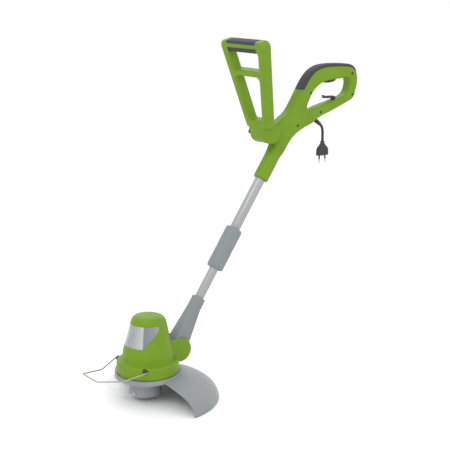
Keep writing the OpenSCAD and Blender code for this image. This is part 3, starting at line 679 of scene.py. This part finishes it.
# Side outline of the handle, the same as in the CAD
HANDLE = [
    (352, 466), (372, 487), (392, 507), (411, 532), (433, 549), (460, 560.5),
    (479, 567), (491, 574.5), (512, 583), (542, 592), (588, 608), (609, 617),
    (618, 634), (624, 660), (618, 687), (604, 699), (580, 703), (540, 705),
    (505, 703), (479, 693), (459, 675), (442, 651), (423, 622), (409, 603),
    (391, 589.5), (370, 578.5), (343, 574), (331, 569), (326, 557), (331, 545),
    (343, 540), (351, 541), (360, 537), (363, 529), (355, 512), (341, 489),
    (335, 475), (340, 464)]
WINDOW = [
    (462, 605), (468, 622), (480, 641), (497, 655), (520, 664), (560, 667),
    (588, 668), (597, 662), (597, 647), (590, 633), (575, 624), (545, 616),
    (505, 607.5), (477, 600.5)]
SCREWS = [(430, 566), (470, 640), (502, 592), (605, 627), (603, 678)]
TRIGGER_PIVOT = (512, 676)
VOXEL = 1.1


def inset(loop, d):
    """Moves a smooth closed outline to its left by d."""
    n = len(loop)
    out = []
    for i in range(n):
        step = loop[(i + 1) % n] - loop[i - 1]
        out.append(loop[i] + d * Vector((-step.y, step.x)) / step.length)
    return out


def grip_zone(name, depth, half_width):
    """The band along the top of the grip that the soft cover fills."""
    inner = inset(spline([Vector(p) for p in HANDLE], 4), depth)
    region = [(420, 649), (457, 649), (520, 655), (560, 680), (612, 680), (622, 698),
              (622, 722), (420, 722)]
    zone = plate(name, [region], -half_width, half_width)
    core = plate(name + "_core", [inner], -half_width - 5, half_width + 5)
    return cut(zone, core)


def make_rear_handle():
    body = plate("handle_body", [spline(HANDLE, 4), spline(WINDOW, 4)],
                 -HANDLE_HALF, HANDLE_HALF, 7)
    neck = lathe("neck", [(0, 452), (16.2, 452), (17.5, 453), (18, 455), (18, 500),
                          (17, 520), (13, 545), (0, 552)], SHAFT_FOOT, SHAFT_DIR, 64)
    lug = disc("lug", *FRONT_PIVOT, 17, -17.3, 17.3, 1.5)
    spine = hull("spine", [disc("s1", 368, 503, 12, -16.4, 16.4, 5, 32),
                           disc("s2", 404, 556, 16, -15.6, 15.6, 5, 32),
                           disc("s3", 440, 590, 14, -14.6, 14.6, 5, 32)])
    full = melt(joined("handle_full", [body, neck, lug, spine]), VOXEL, 5)
    cover = boolean(copy_of(full, "grip_cover_soft"), "INTERSECT",
                    grip_zone("cover_zone", 7, 20))
    cut(full, grip_zone("cover_seat", 7.25, 20))
    bore = UPPER_TUBE_R + 0.05
    cut(full, lathe("tube_bore", [(0, 448), (bore, 448), (bore, 470), (0, 470)],
                    SHAFT_FOOT, SHAFT_DIR))
    cut(full, disc("bolt_bore", *FRONT_PIVOT, 3.05, -20, 20, sides=32))
    cut(full, box("trigger_slot", 505, 564, -6.7, 6.7, 652, 690))
    cut(full, lathe("lead_hole", [(0, -10), (5.1, -10), (5.1, 1), (6.5, 1.6), (6.5, 20), (0, 20)],
                    EXIT, EXIT_DIR, 48))
    cut(full, box("hook_seat", 550.7, 559.3, -5.3, 5.3, 608, 617))
    for x, z in SCREWS:
        cut(full, lathe("screw_well", [(0, -18), (4.1, -18), (3.5, -14.6), (3.5, -12.05),
                                       (0, -12.05)], Vector((x, 0, z)), ACROSS, 32))
    for side, node in ((-1, "handle_shell_left"), (1, "handle_shell_right")):
        piece(half(full, node + "_skin", side), node)
    bpy.data.objects.remove(full)
    piece(cover, "grip_cover", SOFT)


TRIGGER = [
    (505, 672), (508, 681), (516, 683), (556, 682), (561, 678), (560, 670),
    (554, 662), (535, 659), (519, 661), (509, 665)]
HOOK = [
    (551, 612.5), (559, 612.5), (559, 621), (555, 626.5), (527, 627.5), (523, 630),
    (521, 628), (524, 622.5), (549, 621.5), (551, 619)]


def make_trigger_and_hook():
    blade = plate("trigger_blade", [spline(TRIGGER, 5)], -6, 6, 2.2)
    cut(blade, disc("pin_bore", *TRIGGER_PIVOT, 2.05, -10, 10, sides=24))
    for k in range(4):
        x = 524 + 7 * k
        cut(blade, disc("finger_groove", x, 656.6, 3.1, -9, 9, sides=24))
    piece(blade, "trigger", DARK)
    soft_hook = [HOOK[0], HOOK[1], (559, 617)] + spline(HOOK[2:8], 3, closed=False)[1:] + HOOK[8:]
    hook = plate("cable_hook_arm", [[Vector(p) for p in soft_hook]], -5, 5, 1.2, 3)
    piece(hook, "cable_hook", DARK)


make_rear_handle()
make_trigger_and_hook()


# ---------- front handle ----------

FRONT_BACK = 4.5
FRONT_DEPTH = 27
FRONT_FRONT = FRONT_BACK - FRONT_DEPTH
FRONT_TOP = 223
FRONT_HALF_W = 75.5
FRONT_SLOPE = 0.205
BAR_HEIGHT = 27
INSERT_DEPTH = 2.5


def to_front(obj):
    """Leans a mesh made upright at the ground-line origin into the front handle's place."""
    turn = Matrix.Rotation(-FRONT_LEAN, 4, "Y")
    place = Matrix.Translation(ground(FRONT_PIVOT[0], 0, FRONT_PIVOT[1]))
    back = Matrix.Translation(GRIP * MM)
    obj.data.transform(place @ turn @ back)
    return obj


def side_y(z, r, d):
    """Y of a corner circle of radius r at height z that touches a side line inset by d."""
    half_w = FRONT_HALF_W - FRONT_SLOPE * (FRONT_TOP - 18 - z)
    return half_w - d - r * math.sqrt(1 + FRONT_SLOPE ** 2)


def round_pairs(low, high):
    """Outline through two pairs of corner circles, each (height, radius, inset)."""
    (z0, r0, d0), (z1, r1, d1) = low, high
    y0, y1 = side_y(z0, r0, d0), side_y(z1, r1, d1)
    return round_hull_2d([(-y0, z0, r0), (y0, z0, r0), (y1, z1, r1), (-y1, z1, r1)])


def round_hull_2d(circles):
    """Outline round circles (x, y, r) given counter-clockwise."""
    out = []
    n = len(circles)
    for i, (x, y, r) in enumerate(circles):
        before, after = circles[i - 1], circles[(i + 1) % n]
        start = outside_angle(before, circles[i])
        end = outside_angle(circles[i], after)
        while end < start:
            end += 360
        out += [Vector(p) for p in arc(x, y, r, start, end, 10)]
    return out


def outside_angle(a, b):
    """Direction of the outer tangent's normal from circle a to circle b, in degrees."""
    dx, dy = b[0] - a[0], b[1] - a[1]
    base = math.atan2(dy, dx)
    return math.degrees(base - math.pi / 2 + math.asin((b[2] - a[2]) / math.hypot(dx, dy)) * -1)


def front_plate(name, loops, x0, x1, rounding):
    """A slab across the handle: outlines are (y, z), thickness from x0 to x1."""
    obj = plate(name, loops, x0, x1, rounding, 5)
    back = Matrix.Translation(GRIP * MM)
    obj.data.transform(back.inverted() @ Matrix.Rotation(math.pi / 2, 4, "Z")
                       @ Matrix.Scale(-1, 4, (0, 1, 0)) @ back)
    return recalc(obj)


def make_front_handle():
    outline = round_pairs((24, 8, 0), (FRONT_TOP - 14, 14, 0))
    windows = [round_pairs((FRONT_TOP - 64.5, 4, 20), (FRONT_TOP - 31, 4, 20.5)),
               round_pairs((40, 4, 18.5), (FRONT_TOP - 93, 10, 19.5))]
    block = front_plate("front_block", [outline] + [p[::-1] for p in windows],
                        FRONT_FRONT, FRONT_BACK, 5.5)
    hub = hull("front_hub", [disc("h1", 0, 0, 24.9, -26.9, 26.9, 3.5, 64),
                             box("h2", FRONT_FRONT + 1, FRONT_BACK - 1, -25, 25, 22, 27)])
    full = melt(joined("front_full", [block, hub]), VOXEL, 5)
    slot = plate("yoke_slot", [[Vector(p) for p in arc(0, 0, 19, 90, 232, 24)]
                               + [Vector(p) for p in ((-50, -60), (60, -70), (60, 26), (0, 26))]],
                 -18, 18)
    cut(full, slot)
    cut(full, disc("front_bore", 0, 0, 3.05, -20, 40, sides=32))
    cut(full, disc("head_recess", 0, 0, 6.6, -24.1, -17, sides=48))
    for node, top, bottom in (("front_grip_upper", -1, 6.5), ("front_grip_lower", 15.5, 33)):
        def ring_zone(name, grow):
            zone = box(name, FRONT_FRONT - 3, FRONT_BACK + 3, -51 - grow, 51 + grow,
                       FRONT_TOP - bottom - grow, FRONT_TOP - top + grow)
            core = box(name + "_core", FRONT_FRONT + INSERT_DEPTH + grow,
                       FRONT_BACK - INSERT_DEPTH - grow, -60, 60,
                       FRONT_TOP - BAR_HEIGHT + INSERT_DEPTH + grow, FRONT_TOP - 4.5 - grow)
            return cut(zone, core)
        insert = boolean(copy_of(full, node + "_insert"), "INTERSECT", ring_zone("insert_zone", 0))
        cut(full, ring_zone("insert_seat", 0.2))
        piece(to_front(insert), node, SOFT)
    piece(to_front(full), "front_handle_frame")


def make_front_knob():
    """Star knob with six lobes and a dished face."""
    outline = []
    lobes = 6
    for k in range(96):
        a = 2 * math.pi * k / 96
        r = 13.4 + 1.5 * math.cos(lobes * a) - 0.3 * math.cos(2 * lobes * a)
        outline.append(Vector((r * math.cos(a), r * math.sin(a))))
    knob = plate("star_knob", [outline], 32, 46, 2.2, 4)
    collar = disc("knob_collar", 0, 0, 9, 28, 33.5, 0.6, 48)
    boolean(knob, "UNION", collar)
    cut(knob, disc("dish", 0, 0, 9.5, 44.6, 52, sides=48))
    cut(knob, disc("knob_bore", 0, 0, 3.05, 20, 43, sides=32))
    cut(knob, lathe("nut_pocket", [(0, 34), (5.5, 34), (5.5, 40), (0, 40)],
                    ORIGIN, ACROSS, 6))
    piece(to_front(knob), "front_handle_knob", DARK)


def make_front_bolt():
    """Bolt whose flat head, with a hexagon socket, sits inside the near cheek."""
    bolt = lathe("front_bolt", [(0, -24), (5.6, -24), (6.5, -23.2), (6.5, -21), (3, -21),
                                (3, 41.4), (2.4, 42), (0, 42)],
                 ORIGIN, ACROSS, 48)
    cut(bolt, lathe("socket", [(0, -26), (2.9, -26), (2.9, -22), (0, -22)],
                    ORIGIN, ACROSS, 6))
    piece(to_front(bolt), "front_handle_bolt", STEEL, 30)


make_front_handle()
make_front_knob()
make_front_bolt()


# ---------- shaft ----------

COLLAR_S = 217                # the collar's lower end, along the shaft
BRACKET_TOP_S = 141           # and the top of the bracket


def make_shaft():
    outer = [(11.2, 0), (17.3, 0), (18, 0.6), (18.9, 2), (19.5, 4), (19.8, 7), (19.8, 40),
             (19.5, 51.5), (19.8, 63), (19.8, 96), (19.5, 99), (18.9, 101), (18, 102.4),
             (17.3, 103), (12.3, 103), (12.3, 95.6), (14.7, 95.6), (14.7, 7), (11.2, 7)]
    body = closed_lathe("twist_collar", [(r, COLLAR_S + s) for r, s in outer],
                        SHAFT_FOOT, SHAFT_DIR, 96)
    piece(body, "clamp_collar", GREY, 38)
    for node, r, s0, s1 in (("upper_tube", UPPER_TUBE_R, 262, 560),
                            ("lower_tube", LOWER_TUBE_R, 60, 475)):
        wall = [(r, s0 + 0.4), (r, s1 - 0.4), (r - 0.3, s1), (r - 1, s1), (r - 1, s0),
                (r - 0.3, s0)]
        piece(closed_lathe(node + "_drawn", wall, SHAFT_FOOT, SHAFT_DIR, 96), node)


def make_bracket():
    """Knuckle and tapered socket in one moulding, with a screw well at the far side."""
    pivot = Vector((PIVOT[0], 0, PIVOT[1]))
    foot = lathe("b1", [(0, 115), (15.8, 115), (15.8, 117), (0, 117)], SHAFT_FOOT, SHAFT_DIR, 48)
    taper = hull("taper", [disc("b2", *PIVOT, 22, -17.5, 17.5, 4, 48), foot])
    knuckle = disc("knuckle", *PIVOT, 24, -19.5, 19.5, 1.6, 96)
    socket = lathe("socket", [(0, 100), (15.5, 100), (16, 116), (16, BRACKET_TOP_S - 2.4),
                              (15.6, BRACKET_TOP_S - 1), (14.6, BRACKET_TOP_S),
                              (0, BRACKET_TOP_S)], SHAFT_FOOT, SHAFT_DIR, 64)
    full = melt(joined("tilt_bracket_body", [taper, knuckle, socket]), 1.0, 4)
    cut(full, lathe("tube_socket", [(0, 60), (LOWER_TUBE_R, 60), (LOWER_TUBE_R, 150), (0, 150)],
                    SHAFT_FOOT, SHAFT_DIR))
    cut(full, disc("pin_bore", *PIVOT, 5.05, -30, 30, sides=48))
    cut(full, disc("button_well", *PIVOT, 9, 9, 30, sides=64))
    cut(full, lathe("screw_well", [(0, 5), (1.6, 5), (1.6, 13.5), (3.5, 13.5), (3.5, 24), (0, 24)],
                    on_shaft(BRACKET_TOP_S - 20), ACROSS, 32))
    piece(full, "tilt_bracket", GREY, 38)


make_shaft()
make_bracket()


# ---------- head ----------

HEAD_X = 8
DOME_LEAN = math.radians(2.5)
DOME = [(57, 80), (57, 84), (55.8, 98), (53.2, 111), (49.9, 123), (46.7, 135), (44, 146.5),
        (41.6, 158), (38.9, 168), (36.8, 172.5), (33.8, 175.8), (29.5, 178.2), (24, 179.5)]
BAND_LOW = 115.5
BAND_HIGH = 163
BAND_FRONT = -29              # the full-height part of the band lies ahead of this x
BAND_TIP = 11                 # its lower edge rises to this x, and it ends there
BAND_TIP_Z = 154
GUIDE_X, GUIDE_Z = -35, 72.5
BUSH_R = 5.5


def dome_radius(z):
    """Radius of the dome at height z, from its smoothed profile."""
    for (r0, z0), (r1, z1) in zip(DOME_CURVE, DOME_CURVE[1:]):
        if z0 <= z <= z1 and z1 > z0:
            return r0 + (r1 - r0) * (z - z0) / (z1 - z0)
    return DOME_CURVE[-1][0]


DOME_CURVE = [tuple(p) for p in spline(DOME, 5, closed=False)]
DOME_AXIS = Vector((math.sin(DOME_LEAN), 0, math.cos(DOME_LEAN)))
DOME_FOOT = Vector((HEAD_X, 0, 80)) - DOME_AXIS * 80


def band_limit(z):
    """Largest x of the band at height z: its lower edge runs up and back on each side."""
    rise = min(1, (z - BAND_LOW) / (BAND_TIP_Z - BAND_LOW))
    return BAND_FRONT + rise * (BAND_TIP - BAND_FRONT)


def band_solid(name, low, high, out, depth, grow):
    """The band's plan on the dome, from out above the surface to depth below it."""
    rows, cols = 20, 96
    verts, faces = [], []
    for layer, lift in enumerate((out, -depth)):
        for i in range(rows + 1):
            z = low + (high - low) * i / rows
            r = dome_radius(z)
            middle = HEAD_X + (z - 80) * math.tan(DOME_LEAN)
            reach = math.acos(max(-1, min(1, -(band_limit(z) - middle) / r))) + grow / r
            for k in range(cols + 1):
                a = -reach + 2 * reach * k / cols
                verts.append((middle - (r + lift) * math.cos(a), (r + lift) * math.sin(a), z))
    width = cols + 1
    layer_size = (rows + 1) * width
    for layer in (0, 1):
        for i in range(rows):
            for k in range(cols):
                a = layer * layer_size + i * width + k
                faces.append((a, a + 1, a + width + 1, a + width))
    rim = ([i * width for i in range(rows + 1)]
           + [rows * width + k for k in range(1, cols + 1)]
           + [i * width + cols for i in range(rows - 1, -1, -1)]
           + [k for k in range(cols - 1, 0, -1)])
    for a, b in zip(rim, rim[1:] + rim[:1]):
        faces.append((a, b, b + layer_size, a + layer_size))
    return recalc(mesh_object(name, verts, faces))


def make_head():
    dome = lathe("dome", [(0, 62), (57, 62)] + DOME_CURVE + [(18, 180), (0, 180.3)],
                 DOME_FOOT, DOME_AXIS, 128)
    skirt = lathe("skirt", [(0, 50), (69, 50), (69.7, 50.5), (70, 51.6), (70, 73), (69.6, 75),
                            (68.5, 76.6), (66, 77.9), (62, 79), (58, 80), (50, 82), (0, 82)],
                  Vector((HEAD_X, 0, 0)), UP, 128)
    hub = hull("hub", [disc("n1", *PIVOT, 27, -26, 26, 2.5, 96),
                       box("n2", 34, 40, -25, 25, 63.5, 110)])
    saddle = hull("saddle", [disc("n3", 60, 92, 17, -24.6, 24.6, 4, 64),
                             box("n4", 8, 14, -30, 30, 66, 118)])
    full = melt(joined("head_full", [dome, skirt, hub, saddle]), VOXEL, 6)
    cut(full, band_solid("band_seat", BAND_LOW - 0.3, BAND_HIGH + 0.3, 4, 1.2, 0.3))
    slot = 19.8
    cut(full, disc("t1", *PIVOT, 28.5, -slot, slot, 0, 96))
    cut(full, box("t2", PIVOT[0], PIVOT[0] + 60, -slot, slot, PIVOT[1] - 28.5, PIVOT[1] + 61.5))
    cut(full, box("t3", SHAFT_FOOT.x - 6, SHAFT_FOOT.x + 60, -slot, slot, PIVOT[1], PIVOT[1] + 70))
    cut(full, disc("pin_seat", *PIVOT, 5, -23.5, 23.5, 0, 48))
    cut(full, disc("button_seat", *PIVOT, 8.2, 15, 40, 0, 64))
    cut(full, lathe("hollow", [(0, 40), (67.4, 40), (67.4, 58), (40, 66), (0, 66)],
                    Vector((HEAD_X, 0, 0)), UP, 96))
    for side in (-1, 1):
        y0, y1 = sorted((side * 40, side * 90))
        cut(full, disc("guide_hole", GUIDE_X, GUIDE_Z, BUSH_R, y0, y1, 0, 48))
    for k in range(5):
        # Air slots low on the far rear of the dome, beside the shaft
        angle = math.radians(62 + 9 * k)
        mid = Vector((HEAD_X + 54 * math.cos(angle), 54 * math.sin(angle), 0))
        slot = box("air_slot", -6, 6, -1.1, 1.1, 112, 138)
        spin = (Matrix.Translation(mid * MM) @ Matrix.Translation(-GRIP * MM)
                @ Matrix.Rotation(angle, 4, "Z") @ Matrix.Translation(GRIP * MM))
        slot.data.transform(spin)
        cut(full, slot)
    for side, node in ((-1, "head_shell_left"), (1, "head_shell_right")):
        piece(half(full, node + "_skin", side), node, None, 38)
    bpy.data.objects.remove(full)
    band = band_solid("silver_band_panel", BAND_LOW, BAND_HIGH, 0.55, 1.15, 0)
    piece(bevel(band, 0.35, 3, 40), "silver_band", SILVER_PAINTED_LIGHT, 30)


make_head()


# ---------- guard and spool head ----------

RIM_Z = -13
GUARD_SCREW_R = 58
KNOB_Z = -4
EYELET_ANGLE = 193
EYELET_Z = 6
GUARD_TOP = [(60, 46), (76, 44.2), (91, 40.5), (108, 35.2), (125, 29), (138, 23.2), (148, 17),
             (156, 10.2), (161, 3), (163.8, -4), (165, -9)]


def edge_azimuth(r):
    """Azimuth where the guard's straight end edge crosses radius r."""
    foot, lean = Vector((-3, 50)), Vector((31, 150)).normalized()
    b = foot.dot(lean)
    t = -b + math.sqrt(b * b - foot.length_squared + r * r)
    p = foot + lean * t
    return math.atan2(p.y, p.x)


def make_guard():
    top = [tuple(p) for p in spline(GUARD_TOP, 3, closed=False)]
    outer = [(r, z) for r, z in top] + [(165, -12.2), (164.6, -12.8), (163.9, RIM_Z),
                                       (163.1, RIM_Z), (162.4, -12.8), (162, -12.2), (162, -8)]
    thick = 3
    under = []
    for i in range(len(top) - 2, -1, -1):
        a, b = Vector(top[max(i - 1, 0)]), Vector(top[min(i + 1, len(top) - 1)])
        step = (b - a).normalized()
        n = Vector((step.y, -step.x))
        p = Vector(top[i]) + n * thick
        if p.y < top[i][1] and p.x < 162:
            under.append((p.x, p.y))
        elif p.y >= top[i][1]:
            under.append((top[i][0] - n.x, top[i][1] - thick))
    loop = outer + under
    cols = 120
    verts, faces = [], []
    for k in range(cols + 1):
        for r, z in loop:
            a = edge_azimuth(r) * (2 * k / cols - 1)
            verts.append((r * math.cos(a), r * math.sin(a), z))
    m = len(loop)
    for k in range(cols):
        for i in range(m):
            j = (i + 1) % m
            faces.append((k * m + i, k * m + j, (k + 1) * m + j, (k + 1) * m + i))
    faces.append(tuple(range(m)))
    faces.append(tuple(cols * m + i for i in range(m)))
    sector = recalc(mesh_object("guard_sector", verts, faces))
    bevel(sector, 0.7, 3, 50)
    plate_ring = closed_lathe("guard_plate", [(33, 39.5), (73.8, 39.5), (74.5, 40.2), (74.5, 49.3),
                                              (74, 49.9), (33, 49.9)],
                              Vector((HEAD_X, 0, 0)), UP, 128)
    full = boolean(sector, "UNION", plate_ring)
    cut(full, lathe("spool_opening", [(0, 30), (40, 30), (40, 60), (0, 60)],
                    ORIGIN, UP, 96))
    full.name = "guard_shell"
    for a in (30, 150, 210, 330):
        t = math.radians(a)
        seat = [(0, 36), (3.9, 36), (3.9, 43.1), (2.2, 43.1), (2.2, 52), (0, 52)]
        place = Vector((HEAD_X + GUARD_SCREW_R * math.cos(t), GUARD_SCREW_R * math.sin(t), 0))
        cut(full, lathe("screw_seat", seat, place, UP, 32))
    piece(full, "guard", GUARD_GREY, 40)


def make_spool_head():
    cup = [(17, -2), (33.2, -2), (34.2, -1.6), (35.3, -0.4), (35.5, 0.6), (35.5, 21.5),
           (35.1, 22.2), (35.1, 23), (35.5, 23.7), (35.5, 29.6), (35.1, 30), (32.8, 30),
           (32.8, 0.5), (17, 0.5)]
    body = closed_lathe("spool_cap", cup, ORIGIN, UP, 128)
    a = math.radians(EYELET_ANGLE)
    side = Vector((math.cos(a), math.sin(a), 0))
    cut(body, lathe("eyelet_hole", [(0, 28), (2.9, 28), (2.9, 40), (0, 40)],
                    Vector((0, 0, EYELET_Z)), side, 32))
    piece(body, "spool_cup", None, 38)
    carrier = closed_lathe("spool_carrier_ring", [
        (4, 36), (9, 36), (9, 37), (32.8, 37), (32.8, 30.2), (35.1, 30.2), (35.5, 30.6), (35.5, 39.3),
        (34.8, 40), (9, 40), (9, 56), (4, 56)], ORIGIN, UP, 128)
    piece(carrier, "spool_carrier", GREY, 38)
    knob = closed_lathe("bump_knob_turned", [
        (0.01, 0.9), (5, 0.8), (6, 0), (12.8, 0), (14.3, 0.5), (15.3, 1.6), (16, 3.4), (16, 5.4),
        (15.4, 6), (8.9, 6), (8.9, 28), (7, 28), (7, 6), (0.01, 6)],
        Vector((0, 0, KNOB_Z)), UP, 96)
    for k in range(6):
        t = math.radians(60 * k)
        p = Vector((17 * math.cos(t), 17 * math.sin(t), KNOB_Z))
        cut(knob, lathe("finger", [(0, -1), (2.6, -1), (2.6, 4), (0, 6)], p, UP, 24))
    piece(knob, "bump_knob", DARK, 38)


make_guard()
make_spool_head()


# ---------- wires ----------

def rounded_route(points, reach, steps):
    """Rounds the corners of an open route, reach to each side."""
    pts = [Vector(p) for p in points]
    out = [pts[0]]
    for a, b, c in zip(pts, pts[1:], pts[2:]):
        p = b + (a - b).normalized() * reach
        q = b + (c - b).normalized() * reach
        for k in range(steps + 1):
            t = k / steps
            out.append((1 - t) ** 2 * p + 2 * t * (1 - t) * b + t * t * q)
    out.append(pts[-1])
    return out


GUIDE_HALF = [(GUIDE_X, 47, GUIDE_Z), (GUIDE_X, 64, GUIDE_Z), (-84, 46, 59), (-142, 31, 67)]
LINE = [
    (-30.5, -7, 6), (-34, -7.9, 6), (-38, -8.7, 6), (-42, -8.6, 5.8), (-46, -6.8, 5.6),
    (-49.5, -3, 5.4), (-52, 3, 5.2), (-53.6, 11, 5), (-54.6, 21, 4.8), (-55, 32, 4.6),
    (-54.9, 44, 4.4), (-54.2, 56, 4.2), (-53, 68, 4)]


WIRE_R = 1.39
LINE_R = 0.8


def make_wires():
    route = [(x, -y, z) for x, y, z in GUIDE_HALF] + GUIDE_HALF[::-1]
    guide = tube("edge_guide_wire", rounded_route(route, 5, 8), WIRE_R, 20, (0.1, 0, 1))
    piece(guide, "edge_guide", WIRE, 60)
    line = tube("nylon_line_end", spline(LINE, 3, closed=False), LINE_R, 12, (0, 0, 1))
    piece(line, "cutting_line", NYLON, 60)


make_wires()


# ---------- floor and light ----------

def make_stage():
    low = RIM_Z - 0.2
    floor = mesh_object("floor", [(-40000, -40000, low), (40000, -40000, low),
                                  (40000, 40000, low), (-40000, 40000, low)], [(0, 1, 2, 3)])
    n = Nodes("pale_floor")
    cloud = n.noise(900, 2)
    floor.data.materials.append(n.set(
        Base_Color=n.mix(cloud, rgb(0.86, 0.86, 0.86), rgb(0.88, 0.88, 0.88)), Roughness=0.9,
        Specular_IOR_Level=0.1))


def area_light(name, place, target, size, power):
    data = bpy.data.lights.new(name, "AREA")
    data.shape = "DISK"
    data.size = size
    data.energy = power
    lamp = bpy.data.objects.new(name, data)
    lamp.location = place
    lamp.rotation_euler = (Vector(target) - Vector(place)).to_track_quat("-Z", "Y").to_euler()
    SCENE.collection.objects.link(lamp)


make_stage()
MIDDLE = (-0.25, 0, -0.25)
area_light("key", (-2.4, -1.2, 2.2), MIDDLE, 2.0, 27)
area_light("fill", (0.8, -2.6, 1.0), MIDDLE, 2.6, 9)
area_light("rim", (0.6, 2.2, 2.2), MIDDLE, 2.0, 13)
world = bpy.data.worlds.new("studio")
world.use_nodes = True
world.node_tree.nodes["Background"].inputs["Color"].default_value = (1, 1, 1, 1)
world.node_tree.nodes["Background"].inputs["Strength"].default_value = 1.15
SCENE.world = world
SCENE.view_settings.view_transform = "Standard"
